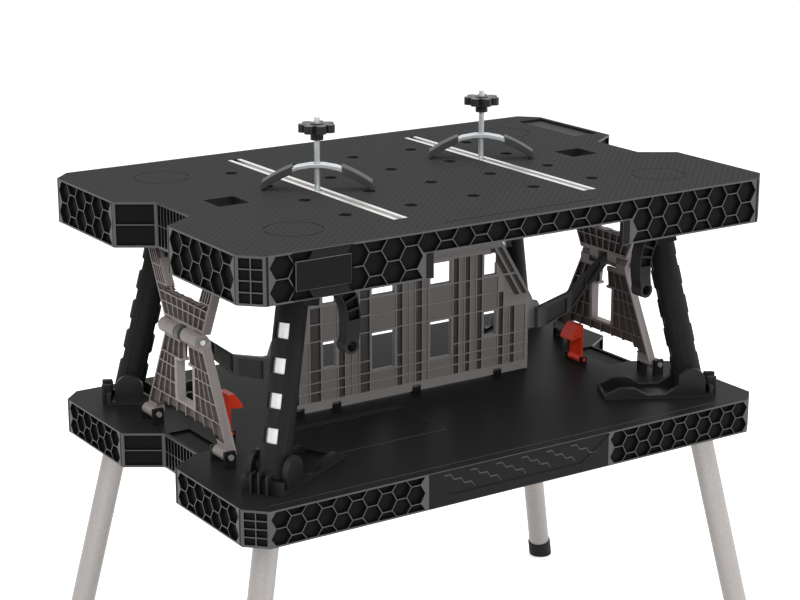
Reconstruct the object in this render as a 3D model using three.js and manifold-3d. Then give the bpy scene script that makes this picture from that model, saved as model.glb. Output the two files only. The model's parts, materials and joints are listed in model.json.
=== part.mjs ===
// Folding workbench: a hollow tabletop over a hollow shelf, joined by two hourglass side panels that
// fold at the waist, a centre panel, four folding leg sleeves and four folding telescopic legs.
// Millimetres, +Z up, origin on the floor under the middle of the bench.
import * as THREE from 'three';
import { mergeVertices } from 'three/addons/utils/BufferGeometryUtils.js';
import Module from 'manifold-3d';

const wasm = await Module();
wasm.setup();

// Driving dimensions of the two decks
const DECK_LENGTH = 850;
const DECK_DEPTH = 570;
const TOP_HEIGHT = 772;
const TOP_BAND = 63;
const SHELF_BAND = 50;
const DECK_GAP = 264;
const DECK_WALL = 7;
const TOP_PLATE = 4.5;
const SHELF_PLATE = 5;
const CORNER_CUT = 26;
const NOTCH_DEPTH = 49;
const NOTCH_MOUTH = 80;
const NOTCH_FLOOR = 48;
const CLEARANCE = 0.3;

// Tabletop details
const PEG_RADIUS = 9;
const PEG_PITCH = 102;
const PEG_COLUMNS = 5;
const PEG_ROWS = 4;
const LATCH_HOLE = 46;
const LATCH_COLLAR = 3;
const LATCH_COLLAR_DEPTH = 8;
const TRACK_X = 155;
const TRACK_WIDTH = 22;
const TRACK_DEPTH = 7;
const TRACK_FRONT = -210;
const TRACK_REAR = 234;
const TRACK_SLOT = 8.6;
const TRACK_TEE = 15;
const TRACK_LIP = 2;
const TRACK_FLOOR = 2;
const TRACK_SEAT = 1.8;
const GRIP_LENGTH = 308;
const GRIP_HEIGHT = 33;
const LABEL_INSET = 108;
const LABEL_X = LABEL_INSET - DECK_LENGTH / 2;
const LABEL_LENGTH = 80;
const LABEL_HEIGHT = 38;
const LABEL_PROUD = 1;
const LABEL_RECESS = 2;

// Hourglass side panels
const PANEL_INSET = 59;
const PANEL_X = DECK_LENGTH / 2 - PANEL_INSET;
const LATCH_HOLE_INSET = 70;
const LATCH_HOLE_X = PANEL_X - LATCH_HOLE_INSET;
const PANEL_THICKNESS = 13;
const PANEL_FOOT_HEIGHT = 16;
const PANEL_HEAD_DEPTH = 30;
const PANEL_END_HALF = 128;
const PANEL_WAIST_HALF = 54;
const PANEL_LEG_WIDTH = 31;
const PANEL_BAR_LOW = 22;
const PANEL_ARCH = 92;
const PANEL_WINDOW_LOW = 40;
const PANEL_WINDOW_HIGH = 96;
const PANEL_WINDOW_HALF = 23;
const KNUCKLE_RADIUS = 8;
const KNUCKLE_LENGTH = 30;
const TRUNNION_RADIUS = 4;
const TRUNNION_REACH = 9;
const WAIST_RADIUS = 11;
const WAIST_PIN_RADIUS = 4;
const WAIST_BANDS = 5;
const EAR_WIDTH = 6;

// Centre panel and its two lock struts
const CENTRE_Y = 11;
const CENTRE_THICKNESS = 7;
const CENTRE_AXIS_HEIGHT = 4.2;
const STRUT_RUN = 123;
const CENTRE_FOOT_STEP = 25;
const CENTRE_CORNER_STEP = 19;
const CENTRE_TOP_STEP = 75;
const CENTRE_SHOULDER_HALF = PANEL_X - STRUT_RUN;
const CENTRE_HALF = CENTRE_SHOULDER_HALF - CENTRE_FOOT_STEP;
const CENTRE_SHOULDER = 64;
const CENTRE_TOP = 206;
const CENTRE_CORNER = 114;
const CENTRE_CORNER_HALF = CENTRE_SHOULDER_HALF - CENTRE_CORNER_STEP;
const CENTRE_TOP_HALF = CENTRE_SHOULDER_HALF - CENTRE_TOP_STEP;
const CENTRE_ROD_RADIUS = 2;
const CENTRE_WINDOW_COLUMNS = [[-143, -121, 64], [-61, -22, 46], [40, 77, 46], [136, 159, 66]];
const CENTRE_WINDOW_RAIL = [102, 158];
const CENTRE_WINDOW_TOP = 190;
const CLIP_LENGTH = 14;
const STRUT_WIDTH = 30;
const STRUT_THICKNESS = 9;
const STRUT_GAP = 0.9;
const STRUT_KNEE_OUT = 46;
const STRUT_KNEE_UP = 32;
const STRUT_LAP = 14;

// Legs: the sleeves stand in a plane that points at the middle of the bench
const PIVOT_INSET_X = 77;
const PIVOT_INSET_Y = 76;
const PIVOT_X = DECK_LENGTH / 2 - PIVOT_INSET_X;
const PIVOT_Y = DECK_DEPTH / 2 - PIVOT_INSET_Y;
const PIVOT_HEIGHT = 25;
const LEG_LEAN = 13.6;
const LEG_HEADING = 28.7;
const SLEEVE_RADIUS = 21;
const SLEEVE_BORE = 17.4;
const SLEEVE_TAIL = 12;
const SLEEVE_LENGTH = 236;
const WINDOW_WIDTH = 20;
const WINDOW_HEIGHT = 20;
const WINDOW_FIRST = 42;
const WINDOW_PITCH = 45;
const WINDOWS = 4;
const HEAD_HEIGHT = 24;
const HEAD_HALF = 28;
const CHEEK_GAP = 23;
const CHEEK_WIDTH = 8;
const CHEEK_RADIUS = 20;
const CHEEK_SKIN = 2;
const TRUNK_RADIUS = 8;
const TROUGH_LENGTH = 128;
const TROUGH_RIM = 18;
const TROUGH_LOW = 6;
const TROUGH_WALL = 5;
const TROUGH_FLOOR = 1.5;
const TROUGH_TAPER = 22;
const CRADLE_START = 66;
const CRADLE_RIM = 17;
const TROUGH_SLOPE = 18;
const TAIL_ROOM = 6;
const RIB_ROOT = 6;
const RIB_REACH = 14;
const RIB_PITCH = 12;
const RIB_WIDTH = 3;
const RIB_HEIGHT = 30;
const TUBE_RADIUS = 17;
const TUBE_WALL = 2;
const FOOT_RADIUS = 19;
const FOOT_HEIGHT = 28;
const HINGE_DROP = 28;
const FOLD_SPREAD_LEFT = 4.7;
const FOLD_SPREAD_RIGHT = -3.5;
const COLLAR_LEAN_ROOM = 1.8;
const COLLAR_RADIUS = 20.5;
const COLLAR_HALF = 10;

// Swing hooks under the tabletop
const HOOK_INSET_X = 60;
const HOOK_OUTSET_Y = 13;
const HOOK_ROOT_X = PIVOT_X - HOOK_INSET_X;
const HOOK_Y = PIVOT_Y + HOOK_OUTSET_Y;
const HOOK_THICKNESS = 21;
const HOOK_ROOT_HEIGHT = 14;
const HOOK_SWEEP = 44;
const HOOK_RING_X = HOOK_ROOT_X - HOOK_SWEEP;
const HOOK_RING_DROP = 89;
const HOOK_RING_RADIUS = 11;
const HOOK_RING_BORE = 7;

// Clamps and latches
const CLAMP_LEFT_Y = -2;
const CLAMP_RIGHT_Y = 46;
const BOLT_RADIUS = 4;
const BOLT_HEIGHT = 100;
const ARM_SPAN = 76;
const ARM_APEX = 28;
const ARM_WIDTH = 24;
const ARM_THICKNESS = 5;
const ARM_TURN = -34;
const TIP_LENGTH = 42;
const KNOB_HEIGHT = 80;
const KNOB_RADIUS = 26;
const KNOB_LOBES = 7;
const KNOB_THICKNESS = 11;
const KNOB_HUB = 9;
const LOBE_RADIUS = 7.5;
const LATCH_INSET = 62;
const LATCH_X = PANEL_X - LATCH_INSET;
const LATCH_WIDTH = 28;
const LATCH_BLADE = 4;
const LATCH_HEIGHT = 54;
const LATCH_AXIS = 6;
const LATCH_PIN_RADIUS = 3;
const LATCH_HOOK = 18;

// Heights that follow from the driving dimensions
const topUnder = TOP_HEIGHT - TOP_BAND;
const shelfTop = topUnder - DECK_GAP;
const shelfUnder = shelfTop - SHELF_BAND;
const footAxisZ = shelfTop + PANEL_FOOT_HEIGHT;
const headAxisZ = topUnder + PANEL_HEAD_DEPTH;
const waistZ = (footAxisZ + headAxisZ) / 2;
const panelLink = waistZ - footAxisZ;
const lean = THREE.MathUtils.degToRad(LEG_LEAN);
const heading = THREE.MathUtils.degToRad(LEG_HEADING);

// Solids: every shape is a closed geometry, joined and cut as a manifold
function solid(geometry) {
  geometry.deleteAttribute('normal');
  geometry.deleteAttribute('uv');
  const merged = mergeVertices(geometry.index ? geometry.toNonIndexed() : geometry, 1e-4);
  return new wasm.Manifold(new wasm.Mesh({
    numProp: 3,
    vertProperties: new Float32Array(merged.attributes.position.array),
    triVerts: new Uint32Array(merged.index.array),
  }));
}

function box(x0, x1, y0, y1, z0, z1) {
  const geometry = new THREE.BoxGeometry(x1 - x0, y1 - y0, z1 - z0);
  geometry.translate((x0 + x1) / 2, (y0 + y1) / 2, (z0 + z1) / 2);
  return solid(geometry);
}

function rod(from, to, radius, sides = 16) {
  const axis = to.clone().sub(from);
  const geometry = new THREE.CylinderGeometry(radius, radius, axis.length(), sides);
  const up = new THREE.Vector3(0, 1, 0);
  const turn = new THREE.Quaternion().setFromUnitVectors(up, axis.clone().normalize());
  geometry.applyQuaternion(turn);
  geometry.translate(...from.clone().add(to).multiplyScalar(0.5).toArray());
  return solid(geometry);
}

function rodY(x, y0, y1, z, radius, sides = 16) {
  return rod(new THREE.Vector3(x, y0, z), new THREE.Vector3(x, y1, z), radius, sides);
}

function rodZ(x, y, z0, z1, radius, sides = 16) {
  return rod(new THREE.Vector3(x, y, z0), new THREE.Vector3(x, y, z1), radius, sides);
}

function outline(points, holes = []) {
  const shape = new THREE.Shape(points.map(([a, b]) => new THREE.Vector2(a, b)));
  for (const hole of holes) {
    shape.holes.push(new THREE.Path(hole.map(([a, b]) => new THREE.Vector2(a, b))));
  }
  return shape;
}

// A plate drawn in plan and raised from z0 to z1
function slab(points, z0, z1, holes = []) {
  const geometry = new THREE.ExtrudeGeometry(outline(points, holes), {
    depth: z1 - z0, bevelEnabled: false, curveSegments: 8,
  });
  geometry.translate(0, 0, z0);
  return solid(geometry);
}

// A plate drawn as (y, z) and thickened from x0 to x1
function plateX(points, x0, x1, holes = []) {
  const geometry = new THREE.ExtrudeGeometry(outline(points, holes), { depth: x1 - x0, bevelEnabled: false });
  geometry.applyMatrix4(new THREE.Matrix4().set(0, 0, 1, x0, 1, 0, 0, 0, 0, 1, 0, 0, 0, 0, 0, 1));
  return solid(geometry);
}

// A plate drawn as (x, z) and thickened from y0 to y1
function plateY(points, y0, y1, holes = []) {
  const geometry = new THREE.ExtrudeGeometry(outline(points, holes), { depth: y1 - y0, bevelEnabled: false });
  geometry.applyMatrix4(new THREE.Matrix4().set(1, 0, 0, 0, 0, 0, -1, y1, 0, 1, 0, 0, 0, 0, 0, 1));
  return solid(geometry);
}

function union(pieces) {
  return pieces.reduce((whole, piece) => whole.add(piece));
}

function cut(whole, pieces) {
  return pieces.reduce((rest, piece) => rest.subtract(piece), whole);
}

function moved(body, matrix) {
  return body.transform(matrix.elements);
}

const bench = new THREE.Group();

function addPiece(name, body, colour, roughness, metalness = 0) {
  const found = body.getMesh();
  const geometry = new THREE.BufferGeometry();
  geometry.setAttribute('position', new THREE.BufferAttribute(new Float32Array(found.vertProperties), 3));
  geometry.setIndex(new THREE.BufferAttribute(new Uint32Array(found.triVerts), 1));
  const material = new THREE.MeshStandardMaterial({ color: colour, roughness, metalness });
  const mesh = new THREE.Mesh(geometry, material);
  mesh.name = name;
  bench.add(mesh);
}

const BLACK = 0x191a1b;
const TAUPE = 0x4c4442;
const ALUMINIUM = 0xb9b8b6;
const STEEL = 0xb4bcc0;
const SIDES = [['left', -1], ['right', 1]];
const CORNERS = [
  ['front_left', -1, -1], ['front_right', 1, -1], ['rear_left', -1, 1], ['rear_right', 1, 1],
];

// Deck outline: cut corners and a notch at the middle of each end
function deckOutline(inset) {
  const hx = DECK_LENGTH / 2 - inset;
  const hy = DECK_DEPTH / 2 - inset;
  const corner = CORNER_CUT - inset * (2 - Math.SQRT2);
  const deep = DECK_LENGTH / 2 - NOTCH_DEPTH - inset;
  const mouth = NOTCH_MOUTH + inset;
  const floor = NOTCH_FLOOR + inset;
  return [
    [-hx + corner, -hy], [hx - corner, -hy], [hx, -hy + corner], [hx, -mouth], [deep, -floor],
    [deep, floor], [hx, mouth], [hx, hy - corner], [hx - corner, hy], [-hx + corner, hy],
    [-hx, hy - corner], [-hx, mouth], [-deep, floor], [-deep, -floor], [-hx, -mouth], [-hx, -hy + corner],
  ];
}

function hollowDeck(bottom, top, plate) {
  return slab(deckOutline(0), bottom, top).subtract(slab(deckOutline(DECK_WALL), bottom - 1, top - plate));
}

// Ears that hold the trunnions of one side-panel knuckle, on a deck face at height z, facing up or down
function ears(side, y, faceZ, axisZ) {
  const half = KNUCKLE_LENGTH / 2;
  const x = side * PANEL_X;
  const reach = Math.sign(axisZ - faceZ) * (KNUCKLE_RADIUS - 1);
  const pieces = [];
  for (const sign of [-1, 1]) {
    const inner = y + sign * (half + CLEARANCE);
    const outer = inner + sign * EAR_WIDTH;
    const ear = box(x - KNUCKLE_RADIUS, x + KNUCKLE_RADIUS, Math.min(inner, outer), Math.max(inner, outer),
      Math.min(faceZ, axisZ + reach), Math.max(faceZ, axisZ + reach));
    const bore = rodY(x, Math.min(inner, outer) - 1, Math.max(inner, outer) + 1, axisZ,
      TRUNNION_RADIUS + CLEARANCE, 12);
    pieces.push(ear.subtract(bore));
  }
  return pieces;
}

const kneeY = PANEL_END_HALF - KNUCKLE_LENGTH / 2 - TRUNNION_REACH;

function buildTabletop() {
  const plateUnder = TOP_HEIGHT - TOP_PLATE;
  const seatUnder = TOP_HEIGHT - TRACK_DEPTH - TRACK_SEAT - CLEARANCE;
  let top = hollowDeck(topUnder, TOP_HEIGHT, TOP_PLATE);
  for (const [, side] of SIDES) {
    const half = TRACK_WIDTH / 2;
    top = top.add(box(side * TRACK_X - half - 4, side * TRACK_X + half + 4, TRACK_FRONT - 4, TRACK_REAR + 4,
      seatUnder, plateUnder + 1));
    for (const y of [-kneeY, kneeY]) {
      top = union([top, ...ears(side, y, plateUnder + 1, headAxisZ)]);
    }
  }
  for (const [, sx, sy] of CORNERS) {
    const x = sx * HOOK_ROOT_X;
    const y = sy * HOOK_Y;
    const half = HOOK_THICKNESS / 2 + CLEARANCE;
    for (const sign of [-1, 1]) {
      const inner = y + sign * half;
      const outer = inner + sign * EAR_WIDTH;
      const ear = box(x - 6, x + 6, Math.min(inner, outer), Math.max(inner, outer),
        topUnder + HOOK_ROOT_HEIGHT - 6, plateUnder + 1);
      top = top.add(ear.subtract(rodY(x, Math.min(inner, outer) - 1, Math.max(inner, outer) + 1,
        topUnder + HOOK_ROOT_HEIGHT, TRUNNION_RADIUS + CLEARANCE, 12)));
    }
  }
  for (const [, side] of SIDES) {
    const half = LATCH_HOLE / 2 + LATCH_COLLAR;
    const x = side * LATCH_HOLE_X;
    top = top.add(box(x - half, x + half, -half, half, plateUnder - LATCH_COLLAR_DEPTH, plateUnder + 1));
  }
  const cuts = [];
  for (const [, side] of SIDES) {
    const half = TRACK_WIDTH / 2 + CLEARANCE;
    cuts.push(box(side * TRACK_X - half, side * TRACK_X + half, TRACK_FRONT - CLEARANCE,
      TRACK_REAR + CLEARANCE, TOP_HEIGHT - TRACK_DEPTH - CLEARANCE, TOP_HEIGHT + 1));
    cuts.push(box(side * LATCH_HOLE_X - LATCH_HOLE / 2, side * LATCH_HOLE_X + LATCH_HOLE / 2,
      -LATCH_HOLE / 2, LATCH_HOLE / 2, plateUnder - LATCH_COLLAR_DEPTH - 1, TOP_HEIGHT + 1));
  }
  for (let column = 0; column < PEG_COLUMNS; column += 1) {
    for (let row = 0; row < PEG_ROWS; row += 1) {
      const x = (column - (PEG_COLUMNS - 1) / 2) * PEG_PITCH;
      const y = (row - (PEG_ROWS - 1) / 2) * PEG_PITCH;
      cuts.push(rodZ(x, y, plateUnder - 1, TOP_HEIGHT + 1, PEG_RADIUS, 10));
    }
  }
  const front = -DECK_DEPTH / 2;
  cuts.push(box(-GRIP_LENGTH / 2, GRIP_LENGTH / 2, front - 1, front + DECK_WALL + 1,
    topUnder - 1, topUnder + GRIP_HEIGHT));
  cuts.push(labelBox(CLEARANCE, LABEL_RECESS + CLEARANCE));
  addPiece('tabletop', cut(top, cuts), BLACK, 0.62);
}

function buildTrack(name, side) {
  const x = side * TRACK_X;
  const half = TRACK_WIDTH / 2;
  const bottom = TOP_HEIGHT - TRACK_DEPTH;
  const body = box(x - half, x + half, TRACK_FRONT, TRACK_REAR, bottom, TOP_HEIGHT);
  const slot = box(x - TRACK_SLOT / 2, x + TRACK_SLOT / 2, TRACK_FRONT - 1, TRACK_REAR + 1,
    bottom + TRACK_FLOOR, TOP_HEIGHT + 1);
  const tee = box(x - TRACK_TEE / 2, x + TRACK_TEE / 2, TRACK_FRONT - 1, TRACK_REAR + 1,
    bottom + TRACK_FLOOR, TOP_HEIGHT - TRACK_LIP);
  addPiece(`${name}_track`, cut(body, [slot, tee]), ALUMINIUM, 0.35, 0.9);
}

// Clip posts on the shelf carry the rod of the centre panel
const clipXs = [-182, -121, 16, 162];

function buildShelf() {
  let shelf = hollowDeck(shelfUnder, shelfTop, SHELF_PLATE);
  for (const [, side] of SIDES) {
    for (const y of [-kneeY, kneeY]) {
      shelf = union([shelf, ...ears(side, y, shelfTop - 1, footAxisZ)]);
    }
    shelf = union([shelf, ...latchEars(side)]);
  }
  const axisZ = shelfTop + CENTRE_AXIS_HEIGHT;
  for (const x of clipXs) {
    const post = box(x - CLIP_LENGTH / 2, x + CLIP_LENGTH / 2, CENTRE_Y - 4, CENTRE_Y + 4,
      shelfTop - 1, axisZ + 3.2);
    shelf = shelf.add(post.subtract(rod(new THREE.Vector3(x - CLIP_LENGTH, CENTRE_Y, axisZ),
      new THREE.Vector3(x + CLIP_LENGTH, CENTRE_Y, axisZ), CENTRE_ROD_RADIUS + CLEARANCE, 12)));
  }
  for (const [, sx, sy] of CORNERS) {
    const hinge = lowerHinge(sx, sy);
    for (const sign of [-1, 1]) {
      const near = COLLAR_RADIUS + COLLAR_LEAN_ROOM;
      const ear = box(-10, 10, sign > 0 ? near : -near - EAR_WIDTH, sign > 0 ? near + EAR_WIDTH : -near,
        -10, HINGE_DROP - SHELF_PLATE + 1);
      const bore = rodY(0, sign * near - 20, sign * near + 20, 0, TRUNNION_RADIUS + CLEARANCE, 12);
      shelf = shelf.add(moved(ear.subtract(bore), hinge.frame));
    }
  }
  addPiece('shelf', shelf, BLACK, 0.5);
}

// Side panels, drawn with the waist narrower than the ends; direction +1 runs up from the foot axis
function halfPanel(side, axisZ, direction, barred) {
  const x = side * PANEL_X;
  const inner = x - side * PANEL_THICKNESS;
  const x0 = Math.min(x, inner);
  const x1 = Math.max(x, inner);
  const z = (distance) => axisZ + direction * distance;
  const waist = panelLink - WAIST_RADIUS + 2;
  const end = PANEL_END_HALF - TRUNNION_REACH;
  const arch = barred ? PANEL_BAR_LOW : PANEL_ARCH;
  const edge = (distance) => THREE.MathUtils.lerp(end, PANEL_WAIST_HALF, distance / waist) - PANEL_LEG_WIDTH;
  const points = [
    [-end, z(0)], [-PANEL_WAIST_HALF, z(waist)], [PANEL_WAIST_HALF, z(waist)], [end, z(0)],
    [end - KNUCKLE_LENGTH, z(0)], [end - KNUCKLE_LENGTH, z(KNUCKLE_RADIUS + 3)], [edge(arch), z(arch)],
    [-edge(arch), z(arch)], [-end + KNUCKLE_LENGTH, z(KNUCKLE_RADIUS + 3)], [-end + KNUCKLE_LENGTH, z(0)],
  ];
  const half = PANEL_WINDOW_HALF;
  const window = [
    [-half, z(PANEL_WINDOW_LOW)], [half, z(PANEL_WINDOW_LOW)],
    [half, z(PANEL_WINDOW_HIGH)], [-half, z(PANEL_WINDOW_HIGH)],
  ];
  const holes = barred ? [window] : [];
  const drawn = direction > 0 ? points : points.slice().reverse();
  const pieces = [plateX(drawn, x0, x1, holes)];
  const reach = KNUCKLE_LENGTH / 2;
  for (const y of [-kneeY, kneeY]) {
    pieces.push(rodY(x, y - reach, y + reach, axisZ, KNUCKLE_RADIUS));
    pieces.push(rodY(x, y - reach - TRUNNION_REACH, y + reach + TRUNNION_REACH, axisZ, TRUNNION_RADIUS, 12));
  }
  return union(pieces);
}

// Waist knuckles alternate between the lower and the upper half along the pin
const strutBand = (WAIST_BANDS - 1) / 2;

function waistBands(side, own) {
  const x = side * PANEL_X;
  const width = (2 * PANEL_WAIST_HALF) / WAIST_BANDS;
  const keep = [];
  const clear = [];
  for (let band = 0; band < WAIST_BANDS; band += 1) {
    const y0 = -PANEL_WAIST_HALF + band * width;
    if (band === strutBand) {
      const inner = x - side * (PANEL_THICKNESS + 1);
      const reach = own ? WAIST_RADIUS + 1.2 : panelLink - PANEL_WINDOW_HIGH + 1;
      clear.push(rodY(x, y0, y0 + width, waistZ, WAIST_RADIUS + 1.2));
      clear.push(box(Math.min(x + side, inner), Math.max(x + side, inner), y0, y0 + width,
        waistZ - (own ? 0 : reach), waistZ + (own ? reach : 0)));
    } else if (Math.abs(band - strutBand) % 2 === own) {
      keep.push(rodY(x, y0 + CLEARANCE, y0 + width - CLEARANCE, waistZ, WAIST_RADIUS));
      const inner = x - side * PANEL_THICKNESS;
      keep.push(box(Math.min(x, inner), Math.max(x, inner), y0 + CLEARANCE, y0 + width - CLEARANCE,
        waistZ - (own ? 0 : WAIST_RADIUS), waistZ + (own ? WAIST_RADIUS : 0)));
    } else {
      clear.push(rodY(x, y0 - CLEARANCE, y0 + width + CLEARANCE, waistZ, WAIST_RADIUS + 1.2));
    }
  }
  return { keep, clear };
}

function buildSidePanel(name, side) {
  const x = side * PANEL_X;
  const bore = rodY(x, -PANEL_WAIST_HALF - 9, PANEL_WAIST_HALF + 9, waistZ, WAIST_PIN_RADIUS + CLEARANCE, 12);
  const lowerBands = waistBands(side, 0);
  const upperBands = waistBands(side, 1);
  const lowerHalf = union([halfPanel(side, footAxisZ, 1, true), ...lowerBands.keep]);
  const upperHalf = union([halfPanel(side, headAxisZ, -1, false), ...upperBands.keep]);
  const lower = cut(lowerHalf, [...lowerBands.clear, bore]);
  const upper = cut(upperHalf, [...upperBands.clear, bore]);
  addPiece(`${name}_lower_panel`, lower, TAUPE, 0.55);
  addPiece(`${name}_upper_panel`, upper, TAUPE, 0.55);
  const pin = rodY(x, -PANEL_WAIST_HALF - 2, PANEL_WAIST_HALF + 2, waistZ, WAIST_PIN_RADIUS, 12);
  addPiece(`${name}_waist_pin`, pin, STEEL, 0.3, 0.9);
}

function buildCentrePanel() {
  const y0 = CENTRE_Y - CENTRE_THICKNESS / 2;
  const y1 = CENTRE_Y + CENTRE_THICKNESS / 2;
  const z = (height) => shelfTop + height;
  const foot = CENTRE_AXIS_HEIGHT - 2;
  const points = [
    [-CENTRE_HALF, z(foot)], [CENTRE_HALF, z(foot)], [CENTRE_HALF, z(CENTRE_SHOULDER)],
    [CENTRE_SHOULDER_HALF, z(CENTRE_SHOULDER)], [CENTRE_CORNER_HALF, z(CENTRE_CORNER)],
    [CENTRE_TOP_HALF, z(CENTRE_TOP)], [-CENTRE_TOP_HALF, z(CENTRE_TOP)],
    [-CENTRE_CORNER_HALF, z(CENTRE_CORNER)], [-CENTRE_SHOULDER_HALF, z(CENTRE_SHOULDER)],
    [-CENTRE_HALF, z(CENTRE_SHOULDER)],
  ];
  const windows = [];
  const [railLow, railHigh] = CENTRE_WINDOW_RAIL;
  for (const [x0, x1, sill] of CENTRE_WINDOW_COLUMNS) {
    windows.push(box(x0, x1, y0 - 1, y1 + 1, z(sill), z(railLow)));
    windows.push(box(x0, x1, y0 - 1, y1 + 1, z(railHigh), z(CENTRE_WINDOW_TOP)));
  }
  const axisZ = z(CENTRE_AXIS_HEIGHT);
  for (const x of clipXs) {
    const reach = CLIP_LENGTH / 2 + 0.6;
    windows.push(box(x - reach, x + reach, y0 - 1, y1 + 1, z(-1), axisZ + 6.5));
  }
  const span = CENTRE_HALF - 8;
  const rodAlong = (half, radius) => rod(new THREE.Vector3(-half, CENTRE_Y, axisZ),
    new THREE.Vector3(half, CENTRE_Y, axisZ), radius, 12);
  const bore = rodAlong(CENTRE_HALF + 1, CENTRE_ROD_RADIUS + 0.2);
  const panel = cut(plateY(points, y0, y1), [...windows, bore]);
  addPiece('centre_panel', panel, TAUPE, 0.55);
  addPiece('centre_rod', rodAlong(span, CENTRE_ROD_RADIUS), STEEL, 0.3, 0.9);
}

// Lock struts turn on the waist pins and reach down to the shoulders of the centre panel, before its face
function buildStrut(name, side) {
  const y1 = CENTRE_Y - CENTRE_THICKNESS / 2 - STRUT_GAP;
  const y0 = y1 - STRUT_THICKNESS;
  const half = STRUT_WIDTH / 2;
  const kneeX = CENTRE_SHOULDER_HALF + STRUT_KNEE_OUT;
  const kneeZ = shelfTop + CENTRE_SHOULDER + STRUT_KNEE_UP;
  const endX = CENTRE_SHOULDER_HALF - STRUT_LAP;
  const points = [
    [PANEL_X - 6, waistZ - 9], [PANEL_X, waistZ], [PANEL_X - 8, waistZ + 7], [kneeX, kneeZ + half],
    [endX, kneeZ], [endX, kneeZ - 2 * half], [CENTRE_SHOULDER_HALF, kneeZ - 2 * half], [kneeX, kneeZ - half],
  ].map(([x, z]) => [side * x, z]);
  const x = side * PANEL_X;
  const body = union([plateY(points, y0, y1), rodY(x, y0, y1, waistZ, WAIST_RADIUS)]);
  const bore = rodY(x, y0 - 1, y1 + 1, waistZ, WAIST_PIN_RADIUS + CLEARANCE, 12);
  addPiece(`${name}_lock_strut`, body.subtract(bore), TAUPE, 0.55);
}

// Frame of a leg: origin at the pivot, Z up the sleeve, X outwards in the plane of the lean
function legFrame(sx, sy, origin) {
  const out = new THREE.Vector3(sx * Math.cos(heading), sy * Math.sin(heading), 0);
  const up = out.clone().multiplyScalar(-Math.sin(lean)).add(new THREE.Vector3(0, 0, Math.cos(lean)));
  const away = out.clone().multiplyScalar(Math.cos(lean)).add(new THREE.Vector3(0, 0, Math.sin(lean)));
  const across = up.clone().cross(away);
  const frame = new THREE.Matrix4().makeBasis(away, across, up);
  frame.setPosition(origin);
  return frame;
}

function pivotPoint(sx, sy) {
  return new THREE.Vector3(sx * PIVOT_X, sy * PIVOT_Y, shelfTop + PIVOT_HEIGHT);
}

// Hinge of a lower leg: on the line of the sleeve, inside the hollow of the shelf, with its axis set so
// that the leg folds level beside the one from the other end
function lowerHinge(sx, sy) {
  const drop = PIVOT_HEIGHT + HINGE_DROP;
  const run = drop * Math.tan(lean);
  const out = new THREE.Vector3(sx * Math.cos(heading), sy * Math.sin(heading), 0);
  const origin = pivotPoint(sx, sy).addScaledVector(out, run);
  origin.z -= drop;
  const spread = THREE.MathUtils.degToRad(sx < 0 ? FOLD_SPREAD_LEFT : FOLD_SPREAD_RIGHT);
  const folded = new THREE.Vector3(-sx * Math.cos(spread), sy * Math.sin(spread), 0);
  const down = out.clone().multiplyScalar(Math.sin(lean));
  const axis = new THREE.Vector3(folded.y - down.y, down.x - folded.x, 0).normalize();
  const frame = new THREE.Matrix4().makeBasis(
    new THREE.Vector3(axis.y, -axis.x, 0), axis, new THREE.Vector3(0, 0, 1));
  frame.setPosition(origin);
  return { origin, axis, frame };
}

function buildLeg(name, sx, sy) {
  const trunkReach = CHEEK_GAP + CHEEK_WIDTH - CHEEK_SKIN;
  const frame = legFrame(sx, sy, pivotPoint(sx, sy));
  const sleeveParts = [
    rodZ(0, 0, -SLEEVE_TAIL, SLEEVE_LENGTH, SLEEVE_RADIUS),
    box(-SLEEVE_RADIUS, SLEEVE_RADIUS, -HEAD_HALF, HEAD_HALF, SLEEVE_LENGTH - HEAD_HEIGHT, SLEEVE_LENGTH),
    rodY(0, -trunkReach, trunkReach, 0, TRUNK_RADIUS, 12),
  ];
  const sleeveCuts = [rodZ(0, 0, -SLEEVE_TAIL - 1, SLEEVE_LENGTH - 6, SLEEVE_BORE)];
  for (let index = 0; index < WINDOWS; index += 1) {
    const centre = WINDOW_FIRST + index * WINDOW_PITCH;
    sleeveCuts.push(box(-SLEEVE_RADIUS - 1, SLEEVE_RADIUS + 1, -WINDOW_WIDTH / 2, WINDOW_WIDTH / 2,
      centre - WINDOW_HEIGHT / 2, centre + WINDOW_HEIGHT / 2));
  }
  addPiece(`${name}_sleeve`, moved(cut(union(sleeveParts), sleeveCuts), frame), BLACK, 0.6);
  const core = rodZ(0, 0, -SLEEVE_TAIL, SLEEVE_LENGTH - 12, SLEEVE_BORE - CLEARANCE);
  addPiece(`${name}_core`, moved(core, frame), ALUMINIUM, 0.35, 0.9);
  addPiece(`${name}_base`, legBase(sx, sy), BLACK, 0.45);

  const hinge = lowerHinge(sx, sy);
  const lower = legFrame(sx, sy, hinge.origin);
  const drop = (hinge.origin.z - FOOT_HEIGHT / 2) / Math.cos(lean);
  const collar = cut(rodZ(0, 0, -COLLAR_HALF, COLLAR_HALF, COLLAR_RADIUS),
    [rodZ(0, 0, -COLLAR_HALF - 1, COLLAR_HALF + 1, TUBE_RADIUS + CLEARANCE)]);
  const trunnions = hingeTrunnions(hinge);
  addPiece(`${name}_leg_collar`, union([moved(collar, lower), ...trunnions]), BLACK, 0.5);
  const tube = cut(rodZ(0, 0, -drop, COLLAR_HALF, TUBE_RADIUS),
    [rodZ(0, 0, -drop + 6, COLLAR_HALF + 1, TUBE_RADIUS - TUBE_WALL)]);
  addPiece(`${name}_leg_tube`, moved(tube, lower), ALUMINIUM, 0.3, 0.9);
  addPiece(`${name}_foot`, buildFoot(lower, drop), 0x151515, 0.8);
}

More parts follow.
